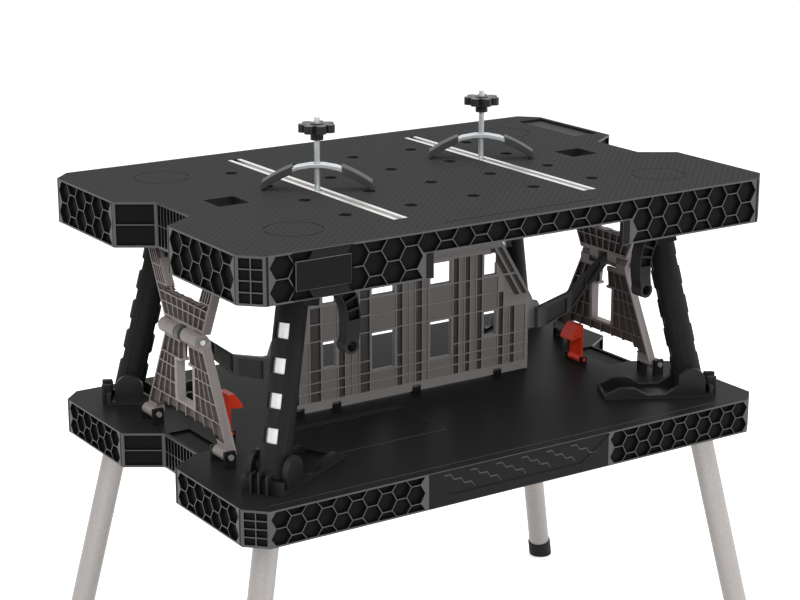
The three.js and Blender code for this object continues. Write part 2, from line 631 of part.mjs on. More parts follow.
function hingeTrunnions(hinge) {
  return [-1, 1].map((sign) => rod(
    hinge.origin.clone().addScaledVector(hinge.axis, sign * (TUBE_RADIUS + 1.5)),
    hinge.origin.clone().addScaledVector(hinge.axis, sign * (COLLAR_RADIUS + COLLAR_LEAN_ROOM + EAR_WIDTH)),
    TRUNNION_RADIUS, 12));
}

// The rubber foot is a cup on the tube's end, cut flat on the floor
function buildFoot(lower, drop) {
  const cup = moved(rodZ(0, 0, -drop - FOOT_HEIGHT, -drop + FOOT_HEIGHT / 2, FOOT_RADIUS), lower);
  const socket = moved(rodZ(0, 0, -drop - CLEARANCE, -drop + FOOT_HEIGHT, TUBE_RADIUS + CLEARANCE), lower);
  const reach = 2 * DECK_LENGTH;
  return cut(cup, [socket, box(-reach, reach, -reach, reach, -3 * FOOT_HEIGHT, 0)]);
}

// Base of a leg on the shelf: two half-round cheeks, outer ribs and a low trough that takes the folded sleeve
function legBase(sx, sy) {
  const out = new THREE.Vector3(sx * Math.cos(heading), sy * Math.sin(heading), 0);
  const across = new THREE.Vector3(0, 0, 1).cross(out);
  const frame = new THREE.Matrix4().makeBasis(out, across, new THREE.Vector3(0, 0, 1));
  frame.setPosition(sx * PIVOT_X, sy * PIVOT_Y, shelfTop);
  const pieces = [];
  const near = CHEEK_GAP + CLEARANCE;
  const far = near + CHEEK_WIDTH;
  const tip = -TROUGH_LENGTH;
  const bow = tip + TROUGH_TAPER;
  const heel = CHEEK_RADIUS + TAIL_ROOM;
  for (const sign of [-1, 1]) {
    const y0 = Math.min(sign * near, sign * far);
    const y1 = y0 + CHEEK_WIDTH;
    pieces.push(rodY(0, y0, y1, PIVOT_HEIGHT, CHEEK_RADIUS));
    pieces.push(box(-CHEEK_RADIUS, heel + RIB_ROOT, y0, y1, CLEARANCE, TROUGH_LOW));
    pieces.push(box(-CHEEK_RADIUS, CHEEK_RADIUS, y0, y1, CLEARANCE, PIVOT_HEIGHT));
    const wall = [
      [0, CLEARANCE], [0, TROUGH_RIM], [-CHEEK_RADIUS, TROUGH_RIM],
      [-CHEEK_RADIUS - TROUGH_SLOPE, TROUGH_LOW], [-CRADLE_START, TROUGH_LOW],
      [-CRADLE_START - TROUGH_SLOPE, CRADLE_RIM], [bow, CRADLE_RIM], [tip, TROUGH_LOW], [tip, CLEARANCE],
    ];
    pieces.push(plateY(wall, y0, y1));
  }
  const rim = [[-heel, -far], [-heel, far], [tip, far], [tip, -far]];
  const well = [[-heel + 1, -near], [-heel + 1, near], [tip + TROUGH_WALL, near], [tip + TROUGH_WALL, -near]];
  pieces.push(slab(rim.slice().reverse(), CLEARANCE, TROUGH_LOW)
    .subtract(slab(well.slice().reverse(), CLEARANCE + TROUGH_FLOOR, TROUGH_LOW + 1)));
  pieces.push(box(heel, heel + RIB_ROOT, -far, far, CLEARANCE, TROUGH_RIM));
  for (let rib = -1; rib <= 1; rib += 1) {
    const y = rib * RIB_PITCH;
    pieces.push(box(heel, heel + RIB_REACH, y - RIB_WIDTH / 2, y + RIB_WIDTH / 2, CLEARANCE,
      RIB_HEIGHT - Math.abs(rib) * 3));
  }
  const depth = far - CHEEK_SKIN + CLEARANCE;
  const bore = rodY(0, -depth, depth, PIVOT_HEIGHT, TRUNK_RADIUS + CLEARANCE, 12);
  return moved(cut(union(pieces), [bore]), frame);
}

function buildHook(name, sx, sy) {
  const y0 = sy * HOOK_Y - HOOK_THICKNESS / 2;
  const y1 = y0 + HOOK_THICKNESS;
  const rootZ = topUnder + HOOK_ROOT_HEIGHT;
  const ringZ = topUnder - HOOK_RING_DROP;
  const curve = new THREE.QuadraticBezierCurve(
    new THREE.Vector2(HOOK_ROOT_X - 2, rootZ), new THREE.Vector2(HOOK_RING_X - 16, rootZ - 26),
    new THREE.Vector2(HOOK_RING_X, ringZ));
  const steps = 8;
  const outer = [];
  const inner = [];
  for (let step = 0; step <= steps; step += 1) {
    const along = step / steps;
    const point = curve.getPoint(along);
    const tangent = curve.getTangent(along);
    const half = THREE.MathUtils.lerp(13, 9, along);
    outer.push([sx * (point.x + tangent.y * half), point.y - tangent.x * half]);
    inner.push([sx * (point.x - tangent.y * half), point.y + tangent.x * half]);
  }
  const loop = [...outer, ...inner.reverse()];
  const drawn = sx > 0 ? loop.slice().reverse() : loop;
  const boss = rodY(sx * HOOK_RING_X, y0, y1, ringZ, HOOK_RING_RADIUS);
  const eye = rodY(sx * HOOK_RING_X, y0 - 1, y1 + 1, ringZ, HOOK_RING_BORE, 12);
  const root = rodY(sx * HOOK_ROOT_X, y0, y1, rootZ, 9);
  const pin = rodY(sx * HOOK_ROOT_X, y0 - EAR_WIDTH, y1 + EAR_WIDTH, rootZ, TRUNNION_RADIUS, 12);
  addPiece(`${name}_hook`, cut(union([plateY(drawn, y0, y1), boss, root, pin]), [eye]), BLACK, 0.5);
}

function buildClamp(name, side, y) {
  const x = side * TRACK_X;
  const headTop = TOP_HEIGHT - TRACK_LIP - CLEARANCE;
  const headBottom = TOP_HEIGHT - TRACK_DEPTH + TRACK_FLOOR + CLEARANCE;
  const bolt = union([
    rodZ(x, y, headBottom, TOP_HEIGHT + BOLT_HEIGHT, BOLT_RADIUS, 12),
    box(x - TRACK_TEE / 2 + CLEARANCE, x + TRACK_TEE / 2 - CLEARANCE, y - 7, y + 7, headBottom, headTop),
  ]);
  addPiece(`${name}_clamp_bolt`, bolt, STEEL, 0.3, 0.9);
  const lift = TOP_HEIGHT + CLEARANCE;
  const flatRun = 10;
  const fall = (distance) => Math.max(0, (distance - flatRun) / (ARM_SPAN - flatRun)) ** 1.6;
  const rise = (distance) => lift + ARM_APEX * (1 - fall(distance));
  const steps = 7;
  const bow = (from, to, thickness, raise) => {
    const upper = [];
    const under = [];
    for (let step = 0; step <= steps; step += 1) {
      const at = THREE.MathUtils.lerp(from, to, step / steps);
      upper.push([x + at, rise(Math.abs(at)) + raise + thickness]);
      under.push([x + at, rise(Math.abs(at)) + raise]);
    }
    return [...under, ...upper.reverse()];
  };
  const tipStart = ARM_SPAN - TIP_LENGTH;
  const turned = new THREE.Matrix4().makeTranslation(x, y, 0)
    .multiply(new THREE.Matrix4().makeRotationZ(THREE.MathUtils.degToRad(ARM_TURN)))
    .multiply(new THREE.Matrix4().makeTranslation(-x, -y, 0));
  const armCurve = bow(-ARM_SPAN + 12, ARM_SPAN - 12, ARM_THICKNESS, 3);
  const arm = plateY(armCurve, y - ARM_WIDTH / 2 + 3, y + ARM_WIDTH / 2 - 3);
  const bored = arm.subtract(rodZ(x, y, lift, lift + 60, BOLT_RADIUS + 0.4, 12));
  addPiece(`${name}_clamp_arm`, moved(bored, turned), STEEL, 0.35, 0.9);
  for (const [end, sign] of SIDES) {
    const [from, to] = sign > 0 ? [tipStart, ARM_SPAN] : [-ARM_SPAN, -tipStart];
    const tipCurve = bow(from, to, ARM_THICKNESS + 6, 0);
    const shell = plateY(tipCurve, y - ARM_WIDTH / 2, y + ARM_WIDTH / 2);
    const socket = plateY(bow(-ARM_SPAN + 11.6, ARM_SPAN - 11.6, ARM_THICKNESS + 0.6, 2.7),
      y - ARM_WIDTH / 2 + 2.7, y + ARM_WIDTH / 2 - 2.7);
    addPiece(`${name}_clamp_${end}_tip`, moved(shell.subtract(socket), turned), 0x3a3a3d, 0.6);
  }
  const knobBottom = TOP_HEIGHT + KNOB_HEIGHT;
  const knobTop = knobBottom + KNOB_THICKNESS;
  const lobes = [
    rodZ(x, y, knobBottom - KNOB_THICKNESS, knobTop + 1, KNOB_HUB),
    rodZ(x, y, knobBottom, knobTop, KNOB_RADIUS - LOBE_RADIUS - 2),
  ];
  for (let lobe = 0; lobe < KNOB_LOBES; lobe += 1) {
    const turn = (lobe / KNOB_LOBES) * 2 * Math.PI;
    const reach = KNOB_RADIUS - LOBE_RADIUS;
    const lobeX = x + reach * Math.cos(turn);
    const lobeY = y + reach * Math.sin(turn);
    lobes.push(rodZ(lobeX, lobeY, knobBottom, knobTop, LOBE_RADIUS, 8));
  }
  const knobBore = rodZ(x, y, knobBottom - KNOB_THICKNESS - 1, knobTop + 2, BOLT_RADIUS + 0.4, 12);
  addPiece(`${name}_clamp_knob`, cut(union(lobes), [knobBore]), BLACK, 0.35);
}

function buildLatch(name, side) {
  const axisZ = shelfTop + LATCH_AXIS;
  const half = LATCH_WIDTH / 2;
  const head = axisZ + LATCH_HEIGHT;
  const profile = [
    [0, axisZ], [LATCH_BLADE, axisZ], [LATCH_BLADE, head], [-6, head], [-LATCH_HOOK, head - 16],
    [-LATCH_HOOK, head - 22], [0, head - 20],
  ].map(([x, z]) => [side * (LATCH_X + x), z]);
  const axisX = side * (LATCH_X + LATCH_BLADE / 2);
  const pieces = [
    plateY(profile, -half, half),
    rodY(axisX, -half, half, axisZ, LATCH_AXIS - 0.5),
    rodY(axisX, -half - EAR_WIDTH, half + EAR_WIDTH, axisZ, LATCH_PIN_RADIUS, 12),
  ];
  addPiece(`${name}_latch`, union(pieces), 0xd6401a, 0.4);
}

function latchEars(side) {
  const x = side * (LATCH_X + LATCH_BLADE / 2);
  const near = LATCH_WIDTH / 2 + CLEARANCE;
  return [-1, 1].map((sign) => {
    const y0 = Math.min(sign * near, sign * (near + EAR_WIDTH));
    const ear = box(x - 5, x + 5, y0, y0 + EAR_WIDTH, shelfTop - 1, shelfTop + LATCH_AXIS + 4);
    const bore = rodY(x, y0 - 1, y0 + EAR_WIDTH + 1, shelfTop + LATCH_AXIS, LATCH_PIN_RADIUS + CLEARANCE, 12);
    return ear.subtract(bore);
  });
}

function labelBox(grow, inward) {
  const front = -DECK_DEPTH / 2;
  const middle = topUnder + TOP_BAND / 2;
  return box(LABEL_X - LABEL_LENGTH / 2 - grow, LABEL_X + LABEL_LENGTH / 2 + grow, front - LABEL_PROUD,
    front + inward, middle - LABEL_HEIGHT / 2 - grow, middle + LABEL_HEIGHT / 2 + grow);
}

function buildLabel() {
  addPiece('label_plate', labelBox(0, LABEL_RECESS), 0x2b2c2e, 0.5);
}

buildTabletop();
buildShelf();
buildCentrePanel();
buildLabel();
for (const [name, side] of SIDES) {
  buildTrack(name, side);
  buildSidePanel(name, side);
  buildStrut(name, side);
  buildClamp(name, side, side < 0 ? CLAMP_LEFT_Y : CLAMP_RIGHT_Y);
  buildLatch(name, side);
}
for (const [name, sx, sy] of CORNERS) {
  buildLeg(name, sx, sy);
  buildHook(name, sx, sy);
}

export default bench;
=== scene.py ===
"""Looks of a folding workbench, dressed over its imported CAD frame.

Every CAD node is shown by a dressed copy: its mesh is cleaned, cut with the moulded cells, ribs and pockets of
the real piece, softened along its edges and given a procedural finish. Lengths are metres, +Z is up.
"""

import json
import logging
import math
from collections.abc import Callable, Iterable, Sequence
from dataclasses import dataclass
from enum import Enum

import bmesh
import bpy
from mathutils import Matrix, Vector


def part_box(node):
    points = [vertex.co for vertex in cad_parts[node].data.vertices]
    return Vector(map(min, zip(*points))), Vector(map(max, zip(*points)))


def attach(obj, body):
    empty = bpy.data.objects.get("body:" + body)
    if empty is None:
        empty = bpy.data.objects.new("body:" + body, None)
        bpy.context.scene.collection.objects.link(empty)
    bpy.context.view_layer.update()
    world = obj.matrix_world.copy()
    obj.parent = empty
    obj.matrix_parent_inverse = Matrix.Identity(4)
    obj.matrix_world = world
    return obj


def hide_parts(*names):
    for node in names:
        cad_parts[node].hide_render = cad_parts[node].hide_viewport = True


LOG = logging.getLogger("bench_looks")
MM = 0.001
EDGE_ANGLE = math.radians(38.0)

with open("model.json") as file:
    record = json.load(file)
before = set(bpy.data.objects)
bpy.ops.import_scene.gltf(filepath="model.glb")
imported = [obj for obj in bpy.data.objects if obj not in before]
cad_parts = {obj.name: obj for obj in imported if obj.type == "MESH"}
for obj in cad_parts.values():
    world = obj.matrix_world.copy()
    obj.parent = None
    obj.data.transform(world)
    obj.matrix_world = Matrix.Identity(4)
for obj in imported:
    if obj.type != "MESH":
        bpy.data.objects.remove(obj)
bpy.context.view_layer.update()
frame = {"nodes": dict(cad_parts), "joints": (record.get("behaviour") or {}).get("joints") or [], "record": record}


class Slot(str, Enum):
    """Material slots of the record."""

    BLACK = "black_plastic"
    PANEL = "panel_plastic"
    ALUMINIUM = "aluminium"
    STEEL = "zinc_steel"
    GREY_RUBBER = "grey_rubber"
    BLACK_RUBBER = "black_rubber"
    KNOB = "knob_plastic"
    LATCH = "latch_plastic"
    LABEL = "label_plastic"


class Axis(Enum):
    """Row axes as unit vectors."""

    X = Vector((1.0, 0.0, 0.0))
    Y = Vector((0.0, 1.0, 0.0))
    Z = Vector((0.0, 0.0, 1.0))


class Plane(Enum):
    """Planes in which an outline is drawn; it is drawn out along the third axis."""

    XY = (0, 1, 2)
    XZ = (0, 2, 1)
    YZ = (1, 2, 0)


@dataclass(frozen=True)
class Finish:
    """One surface finish: its colours, its gloss and the scale of its grain."""

    name: str
    colour: tuple[float, float, float]
    shade: tuple[float, float, float]
    roughness: float
    metallic: float = 0.0
    grain: float = 900.0
    grain_depth: float = 0.15
    speckle: float = 0.35
    # Strength of the painted highlight on sharp convex edges.
    edge_highlight: float = 0.35
    specular: float = 0.25
    brick: float = 0.0


JOINT_SHADE = 1.6
DECK_SKIN = Finish("deck_skin", (0.006, 0.0062, 0.0066), (0.010, 0.0102, 0.0107), 0.45, grain=700, edge_highlight=0.0, specular=0.08)
DECK_TOP = Finish(
    "deck_top", (0.009, 0.0091, 0.0093), (0.019, 0.0192, 0.0195), 0.6, grain=500, speckle=0.5, edge_highlight=0.0,
    specular=0.014, brick=45.0,
)
# Painted highlight: the rib faces of the honeycomb bands, the label's border and the shelf's grooves and steps are the
# same black plastic, painted light grey where light catches them.
DECK_RIB_HIGHLIGHT = Finish("deck_rib_highlight", (0.045, 0.045, 0.0465), (0.070, 0.070, 0.072), 0.4, grain=600, edge_highlight=0.0)
# Painted shade: the insides of the deck cells, hook pockets and shelf trays are the deck's own black plastic, made
# darker where shade falls in them.
DECK_CELL_PAINTED_SHADE = Finish("deck_cell_painted_shade", (0.003, 0.003, 0.0033), (0.005, 0.005, 0.0053), 0.5, edge_highlight=0.0, specular=0.05)
SHELF_TOP = Finish(
    "shelf_top", (0.011, 0.0112, 0.0114), (0.016, 0.0162, 0.0165), 0.4, grain_depth=0.06, edge_highlight=0.0, specular=0.03
)
SLEEVE = Finish(
    "sleeve", (0.005, 0.005, 0.0052), (0.018, 0.018, 0.0185), 0.5, grain=1100, grain_depth=0.3, speckle=0.8,
    edge_highlight=0.1, specular=0.06,
)
MOULDED = Finish("moulded_black", (0.006, 0.006, 0.0064), (0.010, 0.010, 0.0105), 0.38, specular=0.12)
PANEL = Finish("panel_taupe", (0.150, 0.126, 0.120), (0.19, 0.165, 0.158), 0.45, grain=650, edge_highlight=0.6)
# Painted shade: the pockets of the side panels, the centre panel and the struts are their own plastic, painted darker
# where shade falls in them.
PANEL_POCKET_SHADE = Finish("panel_pocket_shade", (0.070, 0.057, 0.054), (0.09, 0.075, 0.071), 0.6, edge_highlight=0.0)
CENTRE = Finish("centre_grey", (0.20, 0.187, 0.179), (0.245, 0.229, 0.22), 0.45, grain=650, edge_highlight=0.45)
# Painted shade: the flutes are the centre panel's own grey, made a little darker in the recess.
FLUTE_PAINTED_SHADE = Finish("centre_flute_painted_shade", (0.19, 0.176, 0.168), (0.23, 0.215, 0.206), 0.5, edge_highlight=0.0)
CENTRE_POCKET_SHADE = Finish("centre_pocket_shade", (0.055, 0.050, 0.048), (0.075, 0.068, 0.065), 0.6, edge_highlight=0.0)
STRUT = Finish("strut_grey", (0.048, 0.049, 0.046), (0.064, 0.065, 0.062), 0.45, grain=650, edge_highlight=0.3)
STRUT_POCKET_SHADE = Finish("strut_pocket_shade", (0.030, 0.031, 0.029), (0.042, 0.043, 0.041), 0.5, edge_highlight=0.0)
# Lit and shaded copies of one aluminium: the leg tubes are painted darker as shaded, the cores in the sleeve windows
# and the tracks painted brighter as lit.
ALUMINIUM = Finish("aluminium_painted_shade", (0.36, 0.338, 0.322), (0.31, 0.292, 0.28), 0.4, 0.6, grain=260, grain_depth=0.03)
ALUMINIUM_PAINTED_LIGHT = Finish("aluminium_painted_light", (0.74, 0.73, 0.72), (0.66, 0.65, 0.64), 0.3, 0.85, grain=260, grain_depth=0.03)
ZINC = Finish("zinc_steel", (0.62, 0.66, 0.68), (0.50, 0.53, 0.55), 0.3, 0.65, grain=300, grain_depth=0.04)
GREY_RUBBER = Finish("grey_rubber", (0.022, 0.022, 0.024), (0.034, 0.034, 0.036), 0.45, specular=0.15)
BLACK_RUBBER = Finish("black_rubber", (0.005, 0.005, 0.005), (0.009, 0.009, 0.009), 0.6, specular=0.1)
KNOB = Finish("knob_black", (0.005, 0.005, 0.0054), (0.009, 0.009, 0.0095), 0.3, specular=0.2)
LATCH = Finish("latch_orange", (0.72, 0.030, 0.005), (0.78, 0.042, 0.008), 0.35, grain_depth=0.05, speckle=0.2)
LABEL = Finish("label_plate", (0.007, 0.0072, 0.0078), (0.010, 0.0102, 0.011), 0.34, grain_depth=0.04, edge_highlight=0.0, specular=0.04)


def grain_group() -> bpy.types.NodeTree:
    """Builds the shared group that turns a position into a grain mask and a bumped normal.

    Returns:
        The shader node group.
    """
    group = bpy.data.node_groups.new("SurfaceGrain", "ShaderNodeTree")
    group.interface.new_socket("Scale", in_out="INPUT", socket_type="NodeSocketFloat")
    group.interface.new_socket("Depth", in_out="INPUT", socket_type="NodeSocketFloat")
    group.interface.new_socket("Mask", in_out="OUTPUT", socket_type="NodeSocketFloat")
    group.interface.new_socket("Normal", in_out="OUTPUT", socket_type="NodeSocketVector")
    nodes, links = group.nodes, group.links
    entry = nodes.new("NodeGroupInput")
    leave = nodes.new("NodeGroupOutput")
    place = nodes.new("ShaderNodeTexCoord")
    noise = nodes.new("ShaderNodeTexNoise")
    noise.inputs["Detail"].default_value = 4.0
    bump = nodes.new("ShaderNodeBump")
    bump.inputs["Distance"].default_value = 0.0004
    links.new(place.outputs["Object"], noise.inputs["Vector"])
    links.new(entry.outputs["Scale"], noise.inputs["Scale"])
    links.new(entry.outputs["Depth"], bump.inputs["Strength"])
    links.new(noise.outputs["Fac"], bump.inputs["Height"])
    links.new(noise.outputs["Fac"], leave.inputs["Mask"])
    links.new(bump.outputs["Normal"], leave.inputs["Normal"])
    return group


def edge_highlight_group() -> bpy.types.NodeTree:
    """Builds the shared group that lightens the sharp convex edges of plastic and metal as a painted highlight.

    Returns:
        The shader node group.
    """
    group = bpy.data.node_groups.new("EdgeHighlight", "ShaderNodeTree")
    group.interface.new_socket("Color", in_out="INPUT", socket_type="NodeSocketColor")
    group.interface.new_socket("Amount", in_out="INPUT", socket_type="NodeSocketFloat")
    group.interface.new_socket("Color", in_out="OUTPUT", socket_type="NodeSocketColor")
    nodes, links = group.nodes, group.links
    entry = nodes.new("NodeGroupInput")
    leave = nodes.new("NodeGroupOutput")
    geometry = nodes.new("ShaderNodeNewGeometry")
    ramp = nodes.new("ShaderNodeMapRange")
    ramp.inputs["From Min"].default_value = 0.52
    ramp.inputs["From Max"].default_value = 0.66
    amount = nodes.new("ShaderNodeMath")
    amount.operation = "MULTIPLY"
    # Painted edge highlight: this grey is added to the colour on sharp convex edges.
    mix = nodes.new("ShaderNodeMix")
    mix.data_type = "RGBA"
    mix.blend_type = "ADD"
    mix.inputs["B"].default_value = (0.12, 0.12, 0.12, 1.0)
    links.new(geometry.outputs["Pointiness"], ramp.inputs["Value"])
    links.new(ramp.outputs["Result"], amount.inputs[0])
    links.new(entry.outputs["Amount"], amount.inputs[1])
    links.new(amount.outputs["Value"], mix.inputs["Factor"])
    links.new(entry.outputs["Color"], mix.inputs["A"])
    links.new(mix.outputs["Result"], leave.inputs["Color"])
    return group


class Finisher:
    """Makes and keeps one material per finish."""

    def __init__(self) -> None:
        """Builds the shared shader groups."""
        self._grain = grain_group()
        self._edge_highlight = edge_highlight_group()
        self._made: dict[str, bpy.types.Material] = {}

    def material(self, finish: Finish) -> bpy.types.Material:
        """Returns the material of a finish.

        Args:
            finish: The finish to make.

        Returns:
            The material, made once.
        """
        if finish.name not in self._made:
            self._made[finish.name] = self._build(finish)
        return self._made[finish.name]

    def _build(self, finish: Finish) -> bpy.types.Material:
        """Builds the node tree of one finish.

        Args:
            finish: The finish to build.

        Returns:
            The new material.
        """
        material = bpy.data.materials.new(finish.name)
        material.use_nodes = True
        nodes, links = material.node_tree.nodes, material.node_tree.links
        shader = nodes["Principled BSDF"]
        shader.inputs["Roughness"].default_value = finish.roughness
        shader.inputs["Metallic"].default_value = finish.metallic
        shader.inputs["Specular IOR Level"].default_value = finish.specular
        grain = nodes.new("ShaderNodeGroup")
        grain.node_tree = self._grain
        grain.inputs["Scale"].default_value = finish.grain
        grain.inputs["Depth"].default_value = finish.grain_depth
        spread = nodes.new("ShaderNodeMapRange")
        spread.inputs["From Min"].default_value = 0.5 - 0.5 * (1.0 - finish.speckle) - 0.05
        spread.inputs["From Max"].default_value = 0.62
        tint = nodes.new("ShaderNodeMix")
        tint.data_type = "RGBA"
        tint.inputs["A"].default_value = (*finish.colour, 1.0)
        tint.inputs["B"].default_value = (*finish.shade, 1.0)
        # Painted highlight on sharp edges.
        edge_highlight = nodes.new("ShaderNodeGroup")
        edge_highlight.node_tree = self._edge_highlight
        edge_highlight.inputs["Amount"].default_value = finish.edge_highlight
        links.new(grain.outputs["Mask"], spread.inputs["Value"])
        links.new(spread.outputs["Result"], tint.inputs["Factor"])
        links.new(tint.outputs["Result"], edge_highlight.inputs["Color"])
        links.new(edge_highlight.outputs["Color"], shader.inputs["Base Color"])
        if finish.brick:
            self._weave(material, grain, shader, finish)
        else:
            links.new(grain.outputs["Normal"], shader.inputs["Normal"])
        return material

    @staticmethod
    def _weave(
        material: bpy.types.Material, grain: bpy.types.Node, shader: bpy.types.Node, finish: Finish
    ) -> None:
        """Adds the small moulded brick pattern of the worktop.

        Args:
            material: The material to add to.
            grain: The grain group node.
            shader: The surface shader.
            finish: The finish, with its bricks per metre.
        """
        nodes, links = material.node_tree.nodes, material.node_tree.links
        place = nodes.new("ShaderNodeTexCoord")
        brick = nodes.new("ShaderNodeTexBrick")
        brick.inputs["Scale"].default_value = finish.brick
        brick.inputs["Mortar Size"].default_value = 0.06
        brick.inputs["Color1"].default_value = (1.0, 1.0, 1.0, 1.0)
        brick.inputs["Color2"].default_value = (0.8, 0.8, 0.8, 1.0)
        bump = nodes.new("ShaderNodeBump")
        bump.inputs["Strength"].default_value = 0.5
        bump.inputs["Distance"].default_value = 0.0005
        links.new(place.outputs["Object"], brick.inputs["Vector"])
        joint = nodes.new("ShaderNodeMix")
        joint.data_type = "RGBA"
        joint.inputs["B"].default_value = (*(JOINT_SHADE * part for part in finish.shade), 1.0)
        links.new(shader.inputs["Base Color"].links[0].from_socket, joint.inputs["A"])
        links.new(brick.outputs["Fac"], joint.inputs["Factor"])
        links.new(joint.outputs["Result"], shader.inputs["Base Color"])
        links.new(brick.outputs["Color"], bump.inputs["Height"])
        links.new(grain.outputs["Normal"], bump.inputs["Normal"])
        links.new(bump.outputs["Normal"], shader.inputs["Normal"])


FINISHER = Finisher()


def mesh_object(name: str, mesh: bpy.types.Mesh) -> bpy.types.Object:
    """Links a mesh into the scene.

    Args:
        name: Name of the new object.
        mesh: Its mesh.

    Returns:
        The new object, at the origin.
    """
    obj = bpy.data.objects.new(name, mesh)
    bpy.context.scene.collection.objects.link(obj)
    return obj


def applied(obj: bpy.types.Object) -> None:
    """Turns an object's modifiers into its plain mesh.

    Args:
        obj: The object to settle.
    """
    graph = bpy.context.evaluated_depsgraph_get()
    mesh = bpy.data.meshes.new_from_object(obj.evaluated_get(graph))
    obj.modifiers.clear()
    obj.data = mesh


@dataclass
class Repeat:
    """A grid of one cell shape, spread by Geometry Nodes over a wall and settled as a plain mesh.

    The grid lies in the wall's own plane: its first direction along the wall, its second up it.
    """

    cell: bpy.types.Object
    columns: int
    rows: int
    pitch_along: float
    pitch_up: float
    stagger: float

    def mesh(self, place: Matrix) -> bpy.types.Object:
        """Realizes the grid at a place.

        Args:
            place: Matrix from the wall's plane to the row frame.

        Returns:
            The object of all cells.
        """
        tree = bpy.data.node_groups.new("CellGrid", "GeometryNodeTree")
        tree.interface.new_socket("Geometry", in_out="OUTPUT", socket_type="NodeSocketGeometry")
        nodes, links = tree.nodes, tree.links
        grid = nodes.new("GeometryNodeMeshGrid")
        grid.inputs["Vertices X"].default_value = max(self.columns, 2)
        grid.inputs["Vertices Y"].default_value = max(self.rows, 2)
        grid.inputs["Size X"].default_value = self.pitch_along * (max(self.columns, 2) - 1)
        grid.inputs["Size Y"].default_value = self.pitch_up * (max(self.rows, 2) - 1)
        index = nodes.new("GeometryNodeInputIndex")
        column = nodes.new("ShaderNodeMath")
        column.operation = "DIVIDE"
        column.inputs[1].default_value = max(self.rows, 2)
        whole = nodes.new("ShaderNodeMath")
        whole.operation = "FLOOR"
        odd = nodes.new("ShaderNodeMath")
        odd.operation = "MODULO"
        odd.inputs[1].default_value = 2.0
        lift = nodes.new("ShaderNodeMath")
        lift.operation = "MULTIPLY"
        lift.inputs[1].default_value = self.stagger
        offset = nodes.new("ShaderNodeCombineXYZ")
        shift = nodes.new("GeometryNodeSetPosition")
        source = nodes.new("GeometryNodeObjectInfo")
        source.inputs["Object"].default_value = self.cell
        spread = nodes.new("GeometryNodeInstanceOnPoints")
        real = nodes.new("GeometryNodeRealizeInstances")
        leave = nodes.new("NodeGroupOutput")
        links.new(index.outputs["Index"], column.inputs[0])
        links.new(column.outputs["Value"], whole.inputs[0])
        links.new(whole.outputs["Value"], odd.inputs[0])
        links.new(odd.outputs["Value"], lift.inputs[0])
        links.new(lift.outputs["Value"], offset.inputs["Y"])
        links.new(grid.outputs["Mesh"], shift.inputs["Geometry"])
        links.new(offset.outputs["Vector"], shift.inputs["Offset"])
        links.new(shift.outputs["Geometry"], spread.inputs["Points"])
        links.new(source.outputs["Geometry"], spread.inputs["Instance"])
        links.new(spread.outputs["Instances"], real.inputs["Geometry"])
        links.new(real.outputs["Geometry"], leave.inputs["Geometry"])
        obj = mesh_object("cell_grid", bpy.data.meshes.new("cell_grid"))
        modifier = obj.modifiers.new("grid", "NODES")
        modifier.node_group = tree
        applied(obj)
        obj.data.transform(place)
        return obj


Outline = Sequence[tuple[float, float]]


def prism(name: str, points: Outline, low: float, high: float, plane: Plane = Plane.XY) -> bpy.types.Object:
    """Makes a closed prism over a flat outline.

    Args:
        name: Name of the new object.
        points: Outline in the plane.
        low: Lower end along the third axis.
        high: Upper end along the third axis.
        plane: Plane that the outline is drawn in.

    Returns:
        The prism.
    """
    first, second, third = plane.value
    shape = bmesh.new()

    def corner(point: tuple[float, float], height: float) -> bmesh.types.BMVert:
        place = [0.0, 0.0, 0.0]
        place[first], place[second], place[third] = point[0], point[1], height
        return shape.verts.new(place)

    bottom = [corner(point, low) for point in points]
    top = [corner(point, high) for point in points]
    shape.faces.new(bottom[::-1])
    shape.faces.new(top)
    for index in range(len(points)):
        after = (index + 1) % len(points)
        shape.faces.new((bottom[index], bottom[after], top[after], top[index]))
    bmesh.ops.recalc_face_normals(shape, faces=shape.faces)
    mesh = bpy.data.meshes.new(name)
    shape.to_mesh(mesh)
    shape.free()
    return mesh_object(name, mesh)


def ring(name: str, middle: tuple[float, float], inner: float, outer: float, low: float, high: float) -> bpy.types.Object:
    """Makes a closed flat ring around a vertical axis.

    Args:
        name: Name of the new object.
        middle: X and Y of the axis.
        inner: Inner radius.
        outer: Outer radius.
        low: Lower Z.
        high: Upper Z.

    Returns:
        The ring.
    """
    steps = 48
    shape = bmesh.new()
    section = ((inner, low), (outer, low), (outer, high), (inner, high))
    loops = []
    for step in range(steps):
        turn = 2.0 * math.pi * step / steps
        loops.append([
            shape.verts.new((middle[0] + r * math.cos(turn), middle[1] + r * math.sin(turn), z)) for r, z in section
        ])
    for step, loop in enumerate(loops):
        after = loops[(step + 1) % steps]
        for k in range(4):
            n = (k + 1) % 4
            shape.faces.new((loop[k], loop[n], after[n], after[k]))
    bmesh.ops.recalc_face_normals(shape, faces=shape.faces)
    mesh = bpy.data.meshes.new(name)
    shape.to_mesh(mesh)
    shape.free()
    return mesh_object(name, mesh)


def strip(points: Outline, width: float) -> list[tuple[float, float]]:
    """Widens a line upwards and downwards into a closed outline.

    Args:
        points: Points of the line, from left to right.
        width: Width across the line.

    Returns:
        The outline of the strip.
    """
    upper = [(a, b + width / 2.0) for a, b in points]
    lower = [(a, b - width / 2.0) for a, b in points]
    return lower + upper[::-1]


def hexagon(radius: float) -> list[tuple[float, float]]:
    """Returns a hexagon with flat sides above and below.

    Args:
        radius: Distance from the middle to a corner.

    Returns:
        Six points, counter-clockwise.
    """
    return [(radius * math.cos(k * math.pi / 3.0), radius * math.sin(k * math.pi / 3.0)) for k in range(6)]


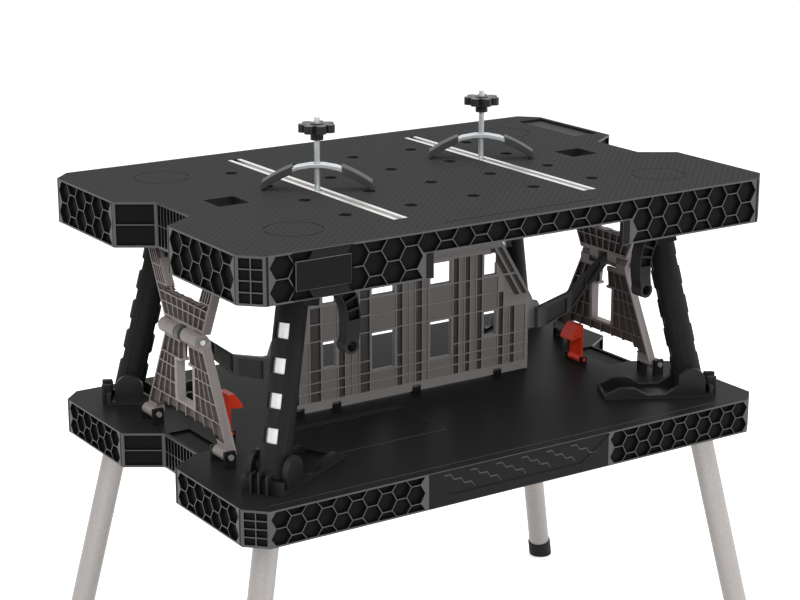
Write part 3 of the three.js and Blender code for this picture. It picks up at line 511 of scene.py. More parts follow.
def joined(name: str, objects: Iterable[bpy.types.Object]) -> bpy.types.Object:
    """Joins helper objects into one mesh and removes them.

    Args:
        name: Name of the joined object.
        objects: Objects to take up.

    Returns:
        The joined object.
    """
    shape = bmesh.new()
    for obj in list(objects):
        shape.from_mesh(obj.data)
        bpy.data.objects.remove(obj)
    mesh = bpy.data.meshes.new(name)
    shape.to_mesh(mesh)
    shape.free()
    return mesh_object(name, mesh)


def keep_cells(
    obj: bpy.types.Object, wanted: Callable[[Vector], bool], floor: Callable[[Vector], float], high: float
) -> None:
    """Drops the cells that are not wanted and trims the rest to a band.

    Args:
        obj: The object of loose cells.
        wanted: Says for a cell's middle whether it stays.
        floor: Says for a cell's middle the lowest Z that it may reach.
        high: Highest Z that a cell may reach.
    """
    shape = bmesh.new()
    shape.from_mesh(obj.data)
    seen: set[bmesh.types.BMVert] = set()
    drop: list[bmesh.types.BMVert] = []
    for start in shape.verts:
        if start in seen:
            continue
        island, stack = [], [start]
        seen.add(start)
        while stack:
            vert = stack.pop()
            island.append(vert)
            for edge in vert.link_edges:
                other = edge.other_vert(vert)
                if other not in seen:
                    seen.add(other)
                    stack.append(other)
        middle = sum((v.co for v in island), Vector()) / len(island)
        top = max(v.co.z for v in island)
        bottom = min(v.co.z for v in island)
        low = floor(middle)
        fits = min(top, high) - max(bottom, low) > 0.22 * (top - bottom)
        if not fits or not wanted(middle):
            drop.extend(island)
            continue
        for vert in island:
            vert.co.z = min(max(vert.co.z, low), high)
    bmesh.ops.delete(shape, geom=drop, context="VERTS")
    shape.to_mesh(obj.data)
    shape.free()


def cleaned_copy(node: str, name: str) -> bpy.types.Object:
    """Copies a CAD node's mesh with its flat faces made whole again.

    Args:
        node: CAD node to copy.
        name: Name of the copy.

    Returns:
        The copy, at the origin.
    """
    source = frame["nodes"][node]
    mesh = source.data.copy()
    mesh.transform(source.matrix_world)
    shape = bmesh.new()
    shape.from_mesh(mesh)
    bmesh.ops.remove_doubles(shape, verts=shape.verts, dist=1e-6)
    bmesh.ops.dissolve_limit(shape, angle_limit=math.radians(0.5), verts=shape.verts, edges=shape.edges)
    shape.to_mesh(mesh)
    shape.free()
    mesh.materials.clear()
    kept_normals = mesh.attributes.get("custom_normal")
    if kept_normals is not None:
        mesh.attributes.remove(kept_normals)
    return mesh_object(name, mesh)


def cut_away(obj: bpy.types.Object, cutter: bpy.types.Object, finish: Finish) -> None:
    """Cuts moulded hollows into a piece, with their own finish inside.

    Args:
        obj: The piece.
        cutter: Closed cells to take away; it is removed.
        finish: Finish of the cut faces.
    """
    cutter.data.materials.clear()
    cutter.data.materials.append(FINISHER.material(finish))
    modifier = obj.modifiers.new("cells", "BOOLEAN")
    modifier.operation = "DIFFERENCE"
    modifier.solver = "EXACT"
    modifier.material_mode = "TRANSFER"
    modifier.object = cutter
    applied(obj)
    bpy.data.objects.remove(cutter)


def rounded(obj: bpy.types.Object, width: float, segments: int = 2, edge_slot: int = -1) -> None:
    """Rounds a piece's edges.

    Args:
        obj: The piece.
        width: Width of the rounding.
        segments: Steps of the rounding.
        edge_slot: Material slot of the rounding, or -1 for that of its faces.
    """
    modifier = obj.modifiers.new("edges", "BEVEL")
    modifier.width = width
    modifier.segments = segments
    modifier.limit_method = "ANGLE"
    modifier.angle_limit = EDGE_ANGLE
    modifier.use_clamp_overlap = True
    modifier.material = edge_slot
    applied(obj)


def shaded(obj: bpy.types.Object) -> None:
    """Shades a piece smoothly between its edges and keeps its flat faces flat.

    Args:
        obj: The piece.
    """
    obj.data.shade_smooth()
    obj.data.set_sharp_from_angle(angle=EDGE_ANGLE)
    modifier = obj.modifiers.new("normals", "WEIGHTED_NORMAL")
    modifier.keep_sharp = True
    applied(obj)


def stand_for(obj: bpy.types.Object, node: str) -> None:
    """Lets a dressed piece stand for its CAD node.

    Args:
        obj: The dressed piece.
        node: The CAD node it replaces.
    """
    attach(obj, body_of(node))
    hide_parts(node)


def body_of(node: str) -> str:
    """Returns the body that a CAD node belongs to.

    Args:
        node: The node's name.

    Returns:
        The body's name.
    """
    for body, nodes in frame["record"]["behaviour"]["bodies"].items():
        if node in nodes:
            return body
    raise KeyError(node)


@dataclass(frozen=True)
class DeckPlan:
    """Outline of a deck: its half sizes, cut corners and end notches."""

    half_x: float
    half_y: float
    corner: float = 26 * MM
    notch_depth: float = 49 * MM
    notch_mouth: float = 80 * MM
    notch_floor: float = 48 * MM

    def walls(self) -> list[tuple[Vector, Vector]]:
        """Returns the straight walls of the outline, counter-clockwise.

        Returns:
            Start and end of each wall.
        """
        x, y, c = self.half_x, self.half_y, self.corner
        deep = x - self.notch_depth
        points = [
            (-x + c, -y), (x - c, -y), (x, -y + c), (x, -self.notch_mouth), (deep, -self.notch_floor),
            (deep, self.notch_floor), (x, self.notch_mouth), (x, y - c), (x - c, y), (-x + c, y),
            (-x, y - c), (-x, self.notch_mouth), (-deep, self.notch_floor), (-deep, -self.notch_floor),
            (-x, -self.notch_mouth), (-x, -y + c),
        ]
        corners = [Vector((a, b, 0.0)) for a, b in points]
        return [(corners[k], corners[(k + 1) % len(corners)]) for k in range(len(corners))]


# Longest wall, then columns and rows: cut corners, notch flanks, notch floors.
WALL_GRIDS = ((45 * MM, (2, 4)), (75 * MM, (1, 2)), (120 * MM, (10, 2)))


@dataclass
class Deck:
    """A hollow deck: honeycomb bands on the long walls, small ribs at corners and notches."""

    node: str
    row_pitch: float
    bare: Callable[[Vector], bool]
    raised: Callable[[Vector], float]
    top_finish: Finish
    details: list[tuple[bpy.types.Object, Finish]]
    cell_depth: float = 5.2 * MM
    rib: float = 1.6 * MM
    rim: float = 2.4 * MM

    def dress(self) -> bpy.types.Object:
        """Builds the dressed deck.

        Returns:
            The piece that stands for the deck's node.
        """
        low, high = (Vector(corner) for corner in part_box(self.node))
        deck = cleaned_copy(self.node, f"{self.node}_skin")
        for finish in (DECK_SKIN, self.top_finish, DECK_RIB_HIGHLIGHT):
            deck.data.materials.append(FINISHER.material(finish))
        band_top = self.band_top(deck)
        plan = DeckPlan((high.x - low.x) / 2.0, (high.y - low.y) / 2.0)
        self.paint(deck, plan, low.z, band_top)
        grids, strips = [], []
        for start, end in plan.walls():
            cells, ends = self.wall_cells(start, end, low.z, band_top)
            grids.append(cells)
            strips.append(ends)
        # The cut cells carry painted shade inside.
        cut_away(deck, joined("deck_cells", grids), DECK_CELL_PAINTED_SHADE)
        # The strips take the painted rib highlight off the wall ends beyond the cells.
        cut_away(deck, joined("deck_strips", strips), DECK_SKIN)
        for cutter, finish in self.details:
            cut_away(deck, cutter, finish)
        rounded(deck, 0.4 * MM, 1)
        deck.data.shade_flat()
        stand_for(deck, self.node)
        return deck

    @staticmethod
    def band_top(deck: bpy.types.Object) -> float:
        """Finds the height of the largest upward face.

        Args:
            deck: The deck's mesh object.

        Returns:
            The height of the deck's top.
        """
        largest = max(deck.data.polygons, key=lambda face: face.area * (face.normal.z > 0.99))
        return largest.center.z

    @staticmethod
    def paint(deck: bpy.types.Object, plan: DeckPlan, low: float, top: float) -> None:
        """Gives the top its own finish and the outer walls the painted rib highlight.

        Args:
            deck: The deck's mesh object.
            plan: Its outline.
            low: Lower rim height.
            top: Top height.
        """
        for face in deck.data.polygons:
            if face.normal.z > 0.99 and abs(face.center.z - top) < MM:
                face.material_index = 1
            if abs(face.normal.z) > 0.1 or not low <= face.center.z <= top:
                continue
            for start, end in plan.walls():
                outward = (end - start).normalized().cross(Axis.Z.value)
                if face.normal.dot(outward) > 0.99 and abs((face.center - start).dot(outward)) < 0.2 * MM:
                    # Outer wall faces get the painted rib highlight; the cells cut later leave it only on the ribs
                    # between them.
                    face.material_index = 2

    def end_strips(self, cells: bpy.types.Object, place: Matrix, length: float, height: float) -> bpy.types.Object:
        """Builds the thin cuts that take the painted rib highlight off a wall beyond its last cells.

        Args:
            cells: The wall's cells.
            place: Matrix from the wall's plane to the row frame.
            length: Length of the wall.
            height: Height of the band.

        Returns:
            The strips of both ends.
        """
        back = place.inverted()
        along = [(back @ vert.co).x for vert in cells.data.vertices] or [0.0]
        up = height / 2.0 - 0.8 * MM
        strips = []
        end = length / 2.0 - 1.2 * MM
        for near, far in ((-end, min(along) - 1.5 * MM), (max(along) + 1.5 * MM, end)):
            if far - near > MM:
                outline = [(near, -up), (far, -up), (far, up), (near, up)]
                strips.append(prism("strip", outline, -0.25 * MM, 0.8 * MM))
        obj = joined("strips", strips)
        obj.data.transform(place)
        return obj

    def wall_cells(
        self, start: Vector, end: Vector, low: float, high: float
    ) -> tuple[bpy.types.Object, bpy.types.Object]:
        """Builds the cells that hollow one wall.

        Args:
            start: Start of the wall.
            end: End of the wall.
            low: Lower rim height.
            high: Top height.

        Returns:
            The loose cells of the wall, and the strips beyond them.
        """
        along = (end - start).normalized()
        outward = along.cross(Axis.Z.value)
        length = (end - start).length
        honeycomb = length > 120 * MM
        if honeycomb:
            corner = self.row_pitch / math.sqrt(3.0)
            cell = prism("cell", hexagon(corner - self.rib / 2.0), -self.cell_depth, MM)
            pitch_along, pitch_up, stagger = 1.5 * corner, self.row_pitch, self.row_pitch / 2.0
            columns, rows = int((length - 4 * MM) / pitch_along), 4
        else:
            count, rows = next(grid for limit, grid in WALL_GRIDS if length < limit)
            pitch_along, pitch_up, stagger = (length - 5 * MM) / count, (high - low - 2 * self.rim) / rows, 0.0
            columns = 3 if count == 1 else count
            half_x, half_y = pitch_along / 2.0 - 0.8 * MM, pitch_up / 2.0 - 0.8 * MM
            box = [(-half_x, -half_y), (half_x, -half_y), (half_x, half_y), (-half_x, half_y)]
            cell = prism("cell", box, -self.cell_depth * 0.7, MM)
        middle = (start + end) / 2.0 + Axis.Z.value * ((low + high) / 2.0)
        place = Matrix((along, Axis.Z.value, outward)).transposed().to_4x4()
        place.translation = middle
        obj = Repeat(cell, columns, rows, pitch_along, pitch_up, stagger).mesh(place)
        bpy.data.objects.remove(cell)
        reach = length / 2.0 - pitch_along * 0.45

        def wanted(point: Vector) -> bool:
            return abs((point - middle).dot(along)) < reach and not self.bare(point)

        def floor(point: Vector) -> float:
            return low + self.rim + self.raised(point)

        keep_cells(obj, wanted, floor, high - self.rim)
        return obj, self.end_strips(obj, place, length, high - low)


def box_cells(boxes: Iterable[tuple[Vector, Vector]]) -> bpy.types.Object:
    """Builds loose boxes from their corners.

    Args:
        boxes: Low and high corner of each box.

    Returns:
        One object of closed boxes.
    """
    made = []
    for low, high in boxes:
        outline = [(low.x, low.y), (high.x, low.y), (high.x, high.y), (low.x, high.y)]
        made.append(prism("pocket", outline, low.z, high.z))
    return joined("pockets", made)


def both_faces(outlines: Iterable[Outline], faces: tuple[float, float], depth: float, plane: Plane) -> bpy.types.Object:
    """Builds pockets that enter a plate from its two faces.

    Args:
        outlines: Outline of each pocket.
        faces: Low and high face along the third axis.
        depth: Depth of a pocket.
        plane: Plane that the outlines are drawn in.

    Returns:
        One object of closed pockets.
    """
    made = []
    for points in outlines:
        made.append(prism("pocket", points, faces[0] - MM, faces[0] + depth, plane))
        made.append(prism("pocket", points, faces[1] - depth, faces[1] + MM, plane))
    return joined("pockets", made)


@dataclass
class SidePanel:
    """Half of an hourglass side panel: narrow pockets between ribs that follow its slanted edges."""

    node: str
    foot: bool
    columns: int = 4
    row_pitch: float = 23.5 * MM
    rib: float = 2.0 * MM
    depth: float = 4.5 * MM
    border: float = 2.4 * MM
    first_row: float = 13 * MM
    end_half: float = 119 * MM
    waist_half: float = 54 * MM
    link: float = 139 * MM
    leg_width: float = 31 * MM
    window_half: float = 26 * MM
    window: tuple[float, float] = (37 * MM, 99 * MM)
    arch: float = 92 * MM
    thickness: float = 13 * MM

    def dress(self) -> None:
        """Builds the dressed half panel."""
        piece = cleaned_copy(self.node, f"{self.node}_skin")
        piece.data.materials.append(FINISHER.material(PANEL))
        mark = next(j for j in frame["joints"] if j["child"] == (self.node if self.foot else "tabletop"))
        own = next(j for j in frame["joints"] if j["child"] == self.node)
        outer = own["pos_m"][0]
        inner = outer - math.copysign(self.thickness, outer)
        faces = (min(outer, inner), max(outer, inner))
        # The pockets carry painted shade inside.
        cut_away(piece, both_faces(self.pockets(mark["pos_m"][2]), faces, self.depth, Plane.YZ), PANEL_POCKET_SHADE)
        rounded(piece, 0.5 * MM, 1)
        shaded(piece)
        stand_for(piece, self.node)

    def reach(self, distance: float) -> float:
        """Returns the half width of the panel at a distance from its hinge.

        Args:
            distance: Distance from the hinge axis.

        Returns:
            The half width there.
        """
        return self.end_half + (self.waist_half - self.end_half) * distance / (self.link - 9 * MM)

    def clear(self, distance: float) -> float:
        """Returns how far from the middle the solid starts at a distance from the hinge.

        Args:
            distance: Distance from the hinge axis.

        Returns:
            Zero where the panel is whole.
        """
        if self.foot:
            if distance < 22 * MM:
                return self.reach(distance) - self.leg_width
            return self.window_half if self.window[0] < distance < self.window[1] else 0.0
        return self.reach(distance) - self.leg_width if distance < self.arch + MM else 0.0

    def pockets(self, axis_z: float) -> list[Outline]:
        """Lists the pockets of both slanted legs and of the whole field between them.

        Args:
            axis_z: Height of the hinge axis.

        Returns:
            Outline of each pocket.
        """
        up = 1.0 if self.foot else -1.0
        edges = [self.first_row + k * self.row_pitch for k in range(6)]
        stops = [self.window[0], self.window[1]] if self.foot else [self.arch + 2 * MM]
        edges = sorted([e for e in edges if all(abs(e - stop) > 9 * MM for stop in stops)] + stops)
        last = self.link - 15 * MM
        edges = [edge for edge in edges if edge < last - 8 * MM] + [last]
        outlines: list[Outline] = []
        for near, far in zip(edges, edges[1:]):
            low, high = near + self.rib / 2.0, far - self.rib / 2.0
            middle = (near + far) / 2.0
            starts = [self.clear(low), self.clear(high)]
            whole = self.clear(middle) == 0.0
            if whole:
                starts = [-self.border, -self.border]
            ends = [self.reach(low) - self.border, self.reach(high) - self.border]
            starts = [start + self.border for start in starts]
            for column in range(self.columns):
                for sign in (-1.0, 1.0):
                    outlines.append(self.pocket(starts, ends, column, sign, (axis_z + up * low, axis_z + up * high)))
        return outlines

    def pocket(
        self, starts: Sequence[float], ends: Sequence[float], column: int, sign: float, heights: tuple[float, float]
    ) -> Outline:
        """Draws one pocket of a row.

        Args:
            starts: Inner limit at both ends of the row.
            ends: Outer limit at both ends of the row.
            column: Place in the row, from the middle outwards.
            sign: Side of the middle.
            heights: Z at both ends of the row.

        Returns:
            The four corners.
        """
        corners = []
        for end, share in ((0, 0.0), (0, 1.0), (1, 1.0), (1, 0.0)):
            step = (ends[end] - starts[end]) / self.columns
            y = starts[end] + step * (column + share) + (self.rib / 2.0 if share == 0.0 else -self.rib / 2.0)
            corners.append((sign * y, heights[end]))
        return corners


@dataclass
class CentrePanel:
    """The centre panel: flutes and rails left standing between pockets."""

    node: str = "centre_panel"
    lines_x: tuple[int, ...] = (
        -213, -200, -182, -165, -146, -118, -106, -94, -82, -64, -19, -8, 3, 14, 26, 37, 80, 91, 101, 111, 122, 133,
        162, 172, 183, 193, 213,
    )
    deep_columns: tuple[int, ...] = (1, 3, 5, 8, 10, 13, 16, 18, 20, 22, 24)
    lines_z: tuple[int, ...] = (15, 30, 44, 62, 105, 130, 155, 193)
    windows: tuple[tuple[int, int, int], ...] = ((-143, -121, 64), (-61, -22, 46), (40, 77, 46), (136, 159, 66))
    rail: tuple[int, int] = (102, 158)
    slant_low: float = 114.0
    slant_foot: float = 224.0
    slant: float = 0.609
    rib: float = 2.0 * MM
    depth: float = 2.6 * MM
    flute_depth: float = 1.0 * MM

    def dress(self) -> None:
        """Builds the dressed centre panel."""
        piece = cleaned_copy(self.node, f"{self.node}_skin")
        piece.data.materials.append(FINISHER.material(CENTRE))
        rod = next(j for j in frame["joints"] if j["child"] == self.node)["pos_m"]
        faces = (rod[1] - 3.5 * MM, rod[1] + 3.5 * MM)
        base = rod[2] - 4.2 * MM
        # The flutes carry a faint painted shade.
        cut_away(piece, both_faces(self.pockets(base, False), faces, self.flute_depth, Plane.XZ), FLUTE_PAINTED_SHADE)
        gaps = self.pockets(base, True) + self.slanted(base)
        # The deep gaps carry painted shade inside.
        cut_away(piece, both_faces(gaps, faces, self.depth, Plane.XZ), CENTRE_POCKET_SHADE)
        rounded(piece, 0.4 * MM, 1)
        shaded(piece)
        stand_for(piece, self.node)

    def blocked(self, left: float, right: float, low: float, high: float) -> bool:
        """Says whether a pocket would meet a window or the slanted upper corners.

        Args:
            left: Low X in millimetres.
            right: High X.
            low: Low height over the shelf.
            high: High height over the shelf.

        Returns:
            True where the pocket is left out.
        """
        room = self.slant_foot - 34 - (high - self.slant_low) * self.slant if high > self.slant_low else 219
        if max(abs(left), abs(right)) > room:
            return True
        for start, end, sill in self.windows:
            over = left < end and right > start
            if over and (high > sill and low < self.rail[0] or high > self.rail[1]):
                return True
        return False

    def pockets(self, base: float, deep: bool) -> list[Outline]:
        """Lists the pockets of one kind of column.

        Args:
            base: Height of the shelf.
            deep: False for the shallow flutes, true for the deep gaps between them.

        Returns:
            Outline of each pocket.
        """
        outlines: list[Outline] = []
        inset = self.rib / 2.0
        for column, (left, right) in enumerate(zip(self.lines_x, self.lines_x[1:])):
            if (column in self.deep_columns) != deep:
                continue
            for low, high in zip(self.lines_z, self.lines_z[1:]):
                if self.blocked(left, right, low, high):
                    continue
                x0, x1 = left * MM + inset, right * MM - inset
                z0, z1 = base + low * MM + inset, base + high * MM - inset
                outlines.append([(x0, z0), (x1, z0), (x1, z1), (x0, z1)])
        return outlines


    def slanted(self, base: float) -> list[Outline]:
        """Lists the gaps that follow the slanted upper corners.

        Args:
            base: Height of the shelf.

        Returns:
            Outline of each gap.
        """
        outlines: list[Outline] = []
        for near, far in ((6.0, 14.0), (19.0, 28.0)):
            for low, high in ((121.0, 153.0), (157.0, 198.0)):
                for sign in (-1.0, 1.0):
                    corners = []
                    for z, inset in ((low, far), (low, near), (high, near), (high, far)):
                        x = self.slant_foot - (z - self.slant_low) * self.slant - inset
                        corners.append((sign * x * MM, base + z * MM))
                    outlines.append(corners)
        return outlines


@dataclass
class LockStrut:
    """A lock strut: a frame around pockets, with a rib in the knee."""

    node: str
    side: float
    depth: float = 3.2 * MM

    def dress(self) -> None:
        """Builds the dressed strut."""
        piece = cleaned_copy(self.node, f"{self.node}_skin")
        piece.data.materials.append(FINISHER.material(STRUT))
        low, high = (Vector(corner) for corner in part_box(self.node))
        joint = next(j for j in frame["joints"] if j["child"] == self.node)
        waist_x, waist_z = abs(joint["pos_m"][0]), joint["pos_m"][2]
        knee_x, knee_z = waist_x - 77 * MM, waist_z - 59 * MM
        half, rib = 15 * MM, 2.5 * MM
        arm_end = (waist_x - 13 * MM, waist_z)
        arm = Vector((arm_end[0] - knee_x, arm_end[1] - knee_z))
        outlines: list[Outline] = []
        for share, after in ((0.06, 0.46), (0.50, 0.90)):
            corners = []
            for along, edge in ((share, -1.0), (after, -1.0), (after, 1.0), (share, 1.0)):
                width = (half - rib) * (1.0 - along) + 3.0 * MM * along
                corners.append((self.side * (knee_x + arm.x * along), knee_z + arm.y * along + edge * width))
            outlines.append(corners)
        lap_x = knee_x - 46 * MM
        outlines.append([
            (self.side * (lap_x + rib), knee_z - 27 * MM), (self.side * (knee_x - 5 * MM), knee_z - 14 * MM),
            (self.side * (knee_x - 5 * MM), knee_z + 9 * MM), (self.side * (lap_x + rib), knee_z - 1 * MM),
        ])
        # The pockets carry painted shade inside.
        cut_away(piece, both_faces(outlines, (low.y, high.y), self.depth, Plane.XZ), STRUT_POCKET_SHADE)
        rounded(piece, 0.5 * MM, 1)
        shaded(piece)
        stand_for(piece, self.node)


@dataclass
class SwingHook:
    """A swing hook: a horn with cross ribs between pockets, and a ring at its end."""

    node: str
    side: float
    pockets: int = 5
    rib: float = 2.0 * MM
    depth: float = 5 * MM
    half_width: float = 10.5 * MM

    def dress(self) -> None:
        """Builds the dressed hook."""
        piece = cleaned_copy(self.node, f"{self.node}_skin")
        piece.data.materials.append(FINISHER.material(MOULDED))
        root = next(j for j in frame["joints"] if j["child"] == self.node)["pos_m"]
        faces = (root[1] - self.half_width, root[1] + self.half_width)
        # The hook's pockets carry painted shade inside.
        cut_away(piece, both_faces(self.outlines(abs(root[0]), root[2]), faces, self.depth, Plane.XZ), DECK_CELL_PAINTED_SHADE)
        rounded(piece, 0.6 * MM, 1)
        shaded(piece)
        stand_for(piece, self.node)

    def outlines(self, root_x: float, root_z: float) -> list[Outline]:
        """Lists the pockets along the horn.

        Args:
            root_x: Distance of the hook's root from the middle of the bench.
            root_z: Height of the root.

        Returns:
            Outline of each pocket.
        """
        start = Vector((root_x - 2 * MM, root_z))
        bend = Vector((root_x - 60 * MM, root_z - 26 * MM))
        end = Vector((root_x - 44 * MM, root_z - 103 * MM))
        outlines: list[Outline] = []
        step = 0.62 / self.pockets
        for index in range(self.pockets):
            corners = []
            near, far = 0.16 + step * index, 0.16 + step * (index + 1) - 0.03
            for along, edge in ((near, 1.0), (far, 1.0), (far, -1.0), (near, -1.0)):
                point = start * (1 - along) ** 2 + bend * (2 * along * (1 - along)) + end * along**2
                tangent = ((bend - start) * (1 - along) + (end - bend) * along).normalized()
                half = (13 - 4 * along) * MM - self.rib
                corners.append((
                    self.side * (point.x + edge * tangent.y * half), point.y - edge * tangent.x * half
                ))
            outlines.append(corners)
        return outlines


@dataclass(frozen=True)
class Plain:
    """A node whose own shape is right: softened edges and a finish."""

    node: str
    finish: Finish
    slot: Slot
    width: float = 0.8 * MM
    edge_finish: Finish | None = None

    def dress(self) -> None:
        """Builds the dressed piece."""
        piece = cleaned_copy(self.node, f"{self.node}_skin")
        piece.data.materials.append(FINISHER.material(self.finish))
        if self.edge_finish is None:
            rounded(piece, self.width)
        else:
            piece.data.materials.append(FINISHER.material(self.edge_finish))
            rounded(piece, self.width, 1, 1)
        shaded(piece)
        stand_for(piece, self.node)


def plain_pieces() -> list[Plain]:
    """Lists the nodes that keep their CAD shape.

    Returns:
        One dressing for each node.
    """
    rules: list[tuple[str, Finish, Slot, float]] = [
        ("_sleeve", SLEEVE, Slot.BLACK, 1.2 * MM),
        # Cores and tracks take the painted lit copy of the aluminium, the leg tubes the painted shaded copy.
        ("_core", ALUMINIUM_PAINTED_LIGHT, Slot.ALUMINIUM, 0.6 * MM),
        ("_base", MOULDED, Slot.BLACK, 0.8 * MM),
        ("_leg_collar", MOULDED, Slot.BLACK, 0.6 * MM),
        ("_leg_tube", ALUMINIUM, Slot.ALUMINIUM, 0.5 * MM),
        ("_foot", BLACK_RUBBER, Slot.BLACK_RUBBER, 1.2 * MM),
        ("_track", ALUMINIUM_PAINTED_LIGHT, Slot.ALUMINIUM, 0.2 * MM),
        ("_waist_pin", ZINC, Slot.STEEL, 0.5 * MM),
        ("_rod", ZINC, Slot.STEEL, 0.3 * MM),
        ("_latch", LATCH, Slot.LATCH, 0.8 * MM),
        ("_clamp_bolt", ZINC, Slot.STEEL, 0.5 * MM),
        ("_clamp_arm", ZINC, Slot.STEEL, 0.6 * MM),
        ("_tip", GREY_RUBBER, Slot.GREY_RUBBER, 1.5 * MM),
        ("_clamp_knob", KNOB, Slot.KNOB, 1.6 * MM),
    ]
    # The label's softened edges carry the painted rib highlight as a light border.
    found = [Plain("label_plate", LABEL, Slot.LABEL, 0.8 * MM, DECK_RIB_HIGHLIGHT)]
    for node in frame["nodes"]:
        for ending, finish, slot, width in rules:
            if node.endswith(ending):
                found.append(Plain(node, finish, slot, width))
    return found


@dataclass(frozen=True)
class Studio:
    """Floor, light and camera."""

    focal_px: float = 2013.1
    image_px: float = 800.0
    sensor_mm: float = 36.0
    azimuth: float = math.radians(-33.34)
    elevation: float = math.radians(15.76)
    eye: tuple[float, float, float] = (-1.545, -2.321, 1.376)

    def build(self) -> None:
        """Sets up the whole studio."""
        self.floor()
        self.backdrop()
        self.light("key", (-2.6, -2.4, 3.2), 2.4, 120.0)
        self.light("top", (0.4, 0.2, 3.6), 3.0, 95.0)
        self.light("fill", (2.8, -2.2, 1.6), 2.2, 45.0)
        self.camera()
        bpy.context.scene.view_settings.view_transform = "Standard"

    @staticmethod
    def seen(tree: bpy.types.NodeTree, dark: float, bright: float) -> bpy.types.NodeSocket:
        """Adds nodes that tell what is seen, also in metal, from what only lights.

        Args:
            tree: Tree to add to.
            dark: Value for rays that carry light.
            bright: Value for rays that end in the picture.

        Returns:
            The socket of the value.
        """
        nodes, links = tree.nodes, tree.links
        path = nodes.new("ShaderNodeLightPath")
        polished = nodes.new("ShaderNodeMath")
        polished.operation = "MAXIMUM"
        either = nodes.new("ShaderNodeMath")
        either.operation = "MAXIMUM"
        level = nodes.new("ShaderNodeMapRange")
        level.inputs["To Min"].default_value = dark
        level.inputs["To Max"].default_value = bright
        links.new(path.outputs["Is Glossy Ray"], polished.inputs[0])
        links.new(path.outputs["Is Transmission Ray"], polished.inputs[1])
        links.new(path.outputs["Is Camera Ray"], either.inputs[0])
        links.new(polished.outputs["Value"], either.inputs[1])
        links.new(either.outputs["Value"], level.inputs["Value"])
        return level.outputs["Result"]

    def floor(self) -> None:
        """Lays the plain pale floor, which keeps the bench's shadow."""
        half = 14.0
        floor = prism("floor", [(-half, -half), (half, -half), (half, half), (-half, half)], -0.02, -0.0005)
        material = bpy.data.materials.new("studio_floor")
        material.use_nodes = True
        shader = material.node_tree.nodes["Principled BSDF"]
        shader.inputs["Base Color"].default_value = (0.8, 0.8, 0.8, 1.0)
        shader.inputs["Roughness"].default_value = 0.9
        shader.inputs["Specular IOR Level"].default_value = 0.0
        shader.inputs["Emission Color"].default_value = (1.0, 1.0, 1.0, 1.0)
        material.node_tree.links.new(self.seen(material.node_tree, 0.0, 0.6), shader.inputs["Emission Strength"])
        floor.data.materials.append(material)

    def backdrop(self) -> None:
        """Makes the world white to the camera and soft grey to the light."""
        world = bpy.data.worlds.new("studio")
        bpy.context.scene.world = world
        world.use_nodes = True
        shade = world.node_tree.nodes["Background"]
        shade.inputs["Color"].default_value = (1.0, 1.0, 1.0, 1.0)
        world.node_tree.links.new(self.seen(world.node_tree, 0.5, 1.0), shade.inputs["Strength"])

    @staticmethod
    def light(name: str, place: tuple[float, float, float], size: float, power: float) -> None:
        """Hangs one soft light that points at the bench.

        Args:
            name: Name of the light.
            place: Where it hangs.
            size: Side of its square.
            power: Watts.
        """
        data = bpy.data.lights.new(name, "AREA")
        data.size = size
        data.energy = power
        lamp = bpy.data.objects.new(name, data)
        lamp.location = place
        aim = Vector((0.0, 0.0, 0.5)) - Vector(place)
        lamp.rotation_euler = aim.to_track_quat("-Z", "Y").to_euler()
        bpy.context.scene.collection.objects.link(lamp)

    def camera(self) -> None:
        """Sets the camera at the photograph's viewing angle."""
        data = bpy.data.cameras.new("camera")
        data.sensor_width = self.sensor_mm
        data.lens = self.focal_px / self.image_px * self.sensor_mm
        camera = bpy.data.objects.new("camera", data)
        flat = math.cos(self.elevation)
        back = Vector((math.sin(self.azimuth) * flat, -math.cos(self.azimuth) * flat, math.sin(self.elevation)))
        right = Vector((math.cos(self.azimuth), math.sin(self.azimuth), 0.0))
        turn = Matrix((right, back.cross(right), back)).transposed()
        camera.matrix_world = Matrix.Translation(self.eye) @ turn.to_4x4()
        bpy.context.scene.collection.objects.link(camera)
        bpy.context.scene.camera = camera


def front_patch(left: float, right: float, low: float, high: float, front: float) -> bpy.types.Object:
    """Builds a thin cut that takes the painted rib highlight off a bare field of a front wall.

    Args:
        left: Low X.
        right: High X.
        low: Low Z.
        high: High Z.
        front: Y of the wall.

    Returns:
        The cutter.
    """
    return box_cells([(Vector((left, front - MM, low)), Vector((right, front + 0.25 * MM, high)))])


def top_details(top: float, under: float, front: float, label_x: float) -> list[tuple[bpy.types.Object, Finish]]:
    """Builds the cutters of the worktop: leg-cap rings, a tray, a front groove and bare fields of the front.

    Args:
        top: Height of the plate.
        under: Lower rim.
        front: Y of the front wall.
        label_x: Middle of the label plate.

    Returns:
        Each cutter with the finish that it leaves.
    """
    rings = []
    for x in (-300, 300):
        for y in (-184, 184):
            rings.append(ring("cap", (x * MM, y * MM), 37.6 * MM, 39 * MM, top - 0.9 * MM, top + MM))
    rings.append(box_cells([(Vector((-0.120, -0.2595, top - MM)), Vector((0.125, -0.2575, top + MM)))]))
    tray = box_cells([(Vector((0.372, 0.100, top - 3 * MM)), Vector((0.417, 0.246, top + MM)))])
    bare = [front_patch(label_x - 0.044, label_x + 0.044, under + MM, top - MM, front)]
    for side in (-1.0, 1.0):
        left, right = sorted((side * 0.1545, side * 0.166))
        bare.append(front_patch(left, right, under + MM, under + 0.034, front))
    return [(joined("cap_rings", rings), DECK_SKIN), (tray, DECK_SKIN), (joined("bare", bare), DECK_SKIN)]


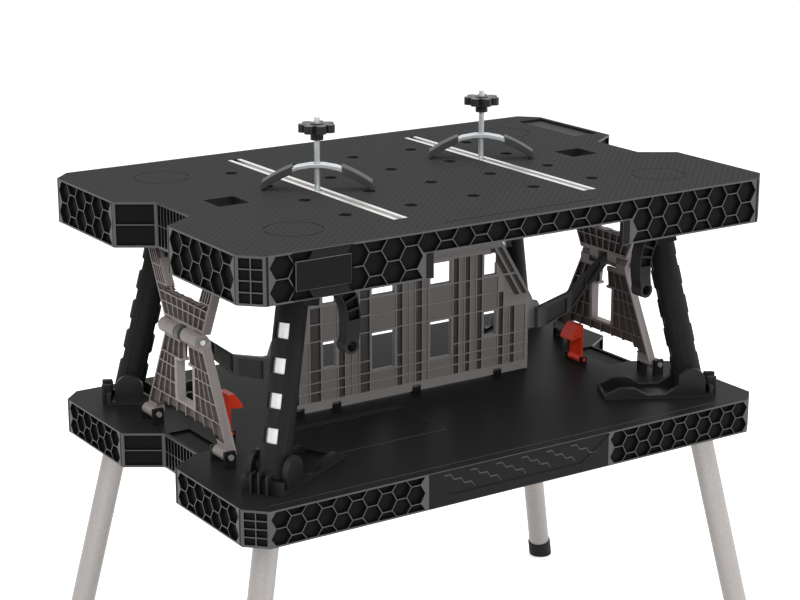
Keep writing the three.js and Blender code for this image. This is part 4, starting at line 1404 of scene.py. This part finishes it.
def shelf_details(top: float, front: float) -> list[tuple[bpy.types.Object, Finish]]:
    """Builds the cutters of the shelf: hatch lines, end trays and the stepped relief of its front.

    Args:
        top: Height of the plate.
        front: Y of the front wall.

    Returns:
        Each cutter with the finish that it leaves.
    """
    line, deep = 1.6 * MM, 0.9 * MM
    left, right, near, far = -0.235, -0.040, -0.150, -0.040
    lines = [
        ((left, far), (right, far + line)), ((left, far + 8 * MM), (right, far + 8 * MM + line)),
        ((right + MM, near), (right + MM + line, far - MM)), ((left, near - line), (right, near)),
        ((-0.39, front + 16 * MM), (0.39, front + 16 * MM + line)),
    ]
    grooves = box_cells([(Vector((*low, top - deep)), Vector((*high, top + MM))) for low, high in lines])
    trays = box_cells([
        (Vector((-0.371, -0.046, top - 3 * MM)), Vector((-0.338, 0.046, top + MM))),
        (Vector((0.338, -0.046, top - 3 * MM)), Vector((0.371, 0.046, top + MM))),
    ])
    field = [(-0.124, top - 0.036), (0.093, top - 0.036), (0.143, top - 0.003), (-0.162, top - 0.003)]
    relief = prism("relief", field, front - MM, front + 1.4 * MM, Plane.XZ)
    stairs = []
    for step in range(6):
        x, z = -0.135 + step * 0.042, top - 0.008
        points = [(x, z), (x + 0.010, z), (x + 0.016, z - 0.008), (x + 0.027, z - 0.008)]
        points += [(x + 0.033, z - 0.016), (x + 0.044, z - 0.016), (x + 0.050, z - 0.024)]
        stairs.append(prism("stair", strip(points, 1.5 * MM), front, front + 1.7 * MM, Plane.XZ))
    bare = front_patch(-0.160, 0.140, top - 0.049, top - MM, front)
    # The end trays carry painted shade inside.
    # The grooves and steps carry the painted rib highlight.
    return [
        (grooves, DECK_RIB_HIGHLIGHT), (trays, DECK_CELL_PAINTED_SHADE), (bare, DECK_SKIN), (relief, DECK_SKIN),
        (joined("stairs", stairs), DECK_RIB_HIGHLIGHT),
    ]


def main() -> None:
    """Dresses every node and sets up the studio."""
    logging.basicConfig(level=logging.INFO)
    label_low, label_high = (Vector(corner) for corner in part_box("label_plate"))
    label_x = (label_low.x + label_high.x) / 2.0
    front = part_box("tabletop")[0][1]
    top_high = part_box("tabletop")[1][2]
    shelf_high = next(j for j in frame["joints"] if j["child"] == "centre_panel")["pos_m"][2] - 4.2 * MM

    def at_front(point: Vector) -> bool:
        return point.y < front + 20 * MM

    def bare_top(point: Vector) -> bool:
        return at_front(point) and abs(point.x - label_x) < 28 * MM

    def bare_shelf(point: Vector) -> bool:
        return at_front(point) and -170 * MM < point.x < 150 * MM

    def grip(point: Vector) -> float:
        return 33 * MM if at_front(point) and abs(point.x) < 164 * MM else 0.0

    def level(_: Vector) -> float:
        return 0.0

    top_cuts = top_details(top_high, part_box("tabletop")[0][2], front, label_x)
    Deck("tabletop", 31 * MM, bare_top, grip, DECK_TOP, top_cuts).dress()
    Deck("shelf", 26 * MM, bare_shelf, level, SHELF_TOP, shelf_details(shelf_high, front)).dress()
    for name, side in (("left", -1.0), ("right", 1.0)):
        SidePanel(f"{name}_lower_panel", True).dress()
        SidePanel(f"{name}_upper_panel", False).dress()
        LockStrut(f"{name}_lock_strut", side).dress()
        for end in ("front", "rear"):
            SwingHook(f"{end}_{name}_hook", side).dress()
    CentrePanel().dress()
    for piece in plain_pieces():
        piece.dress()
    Studio().build()


if __name__ == "__main__":
    main()
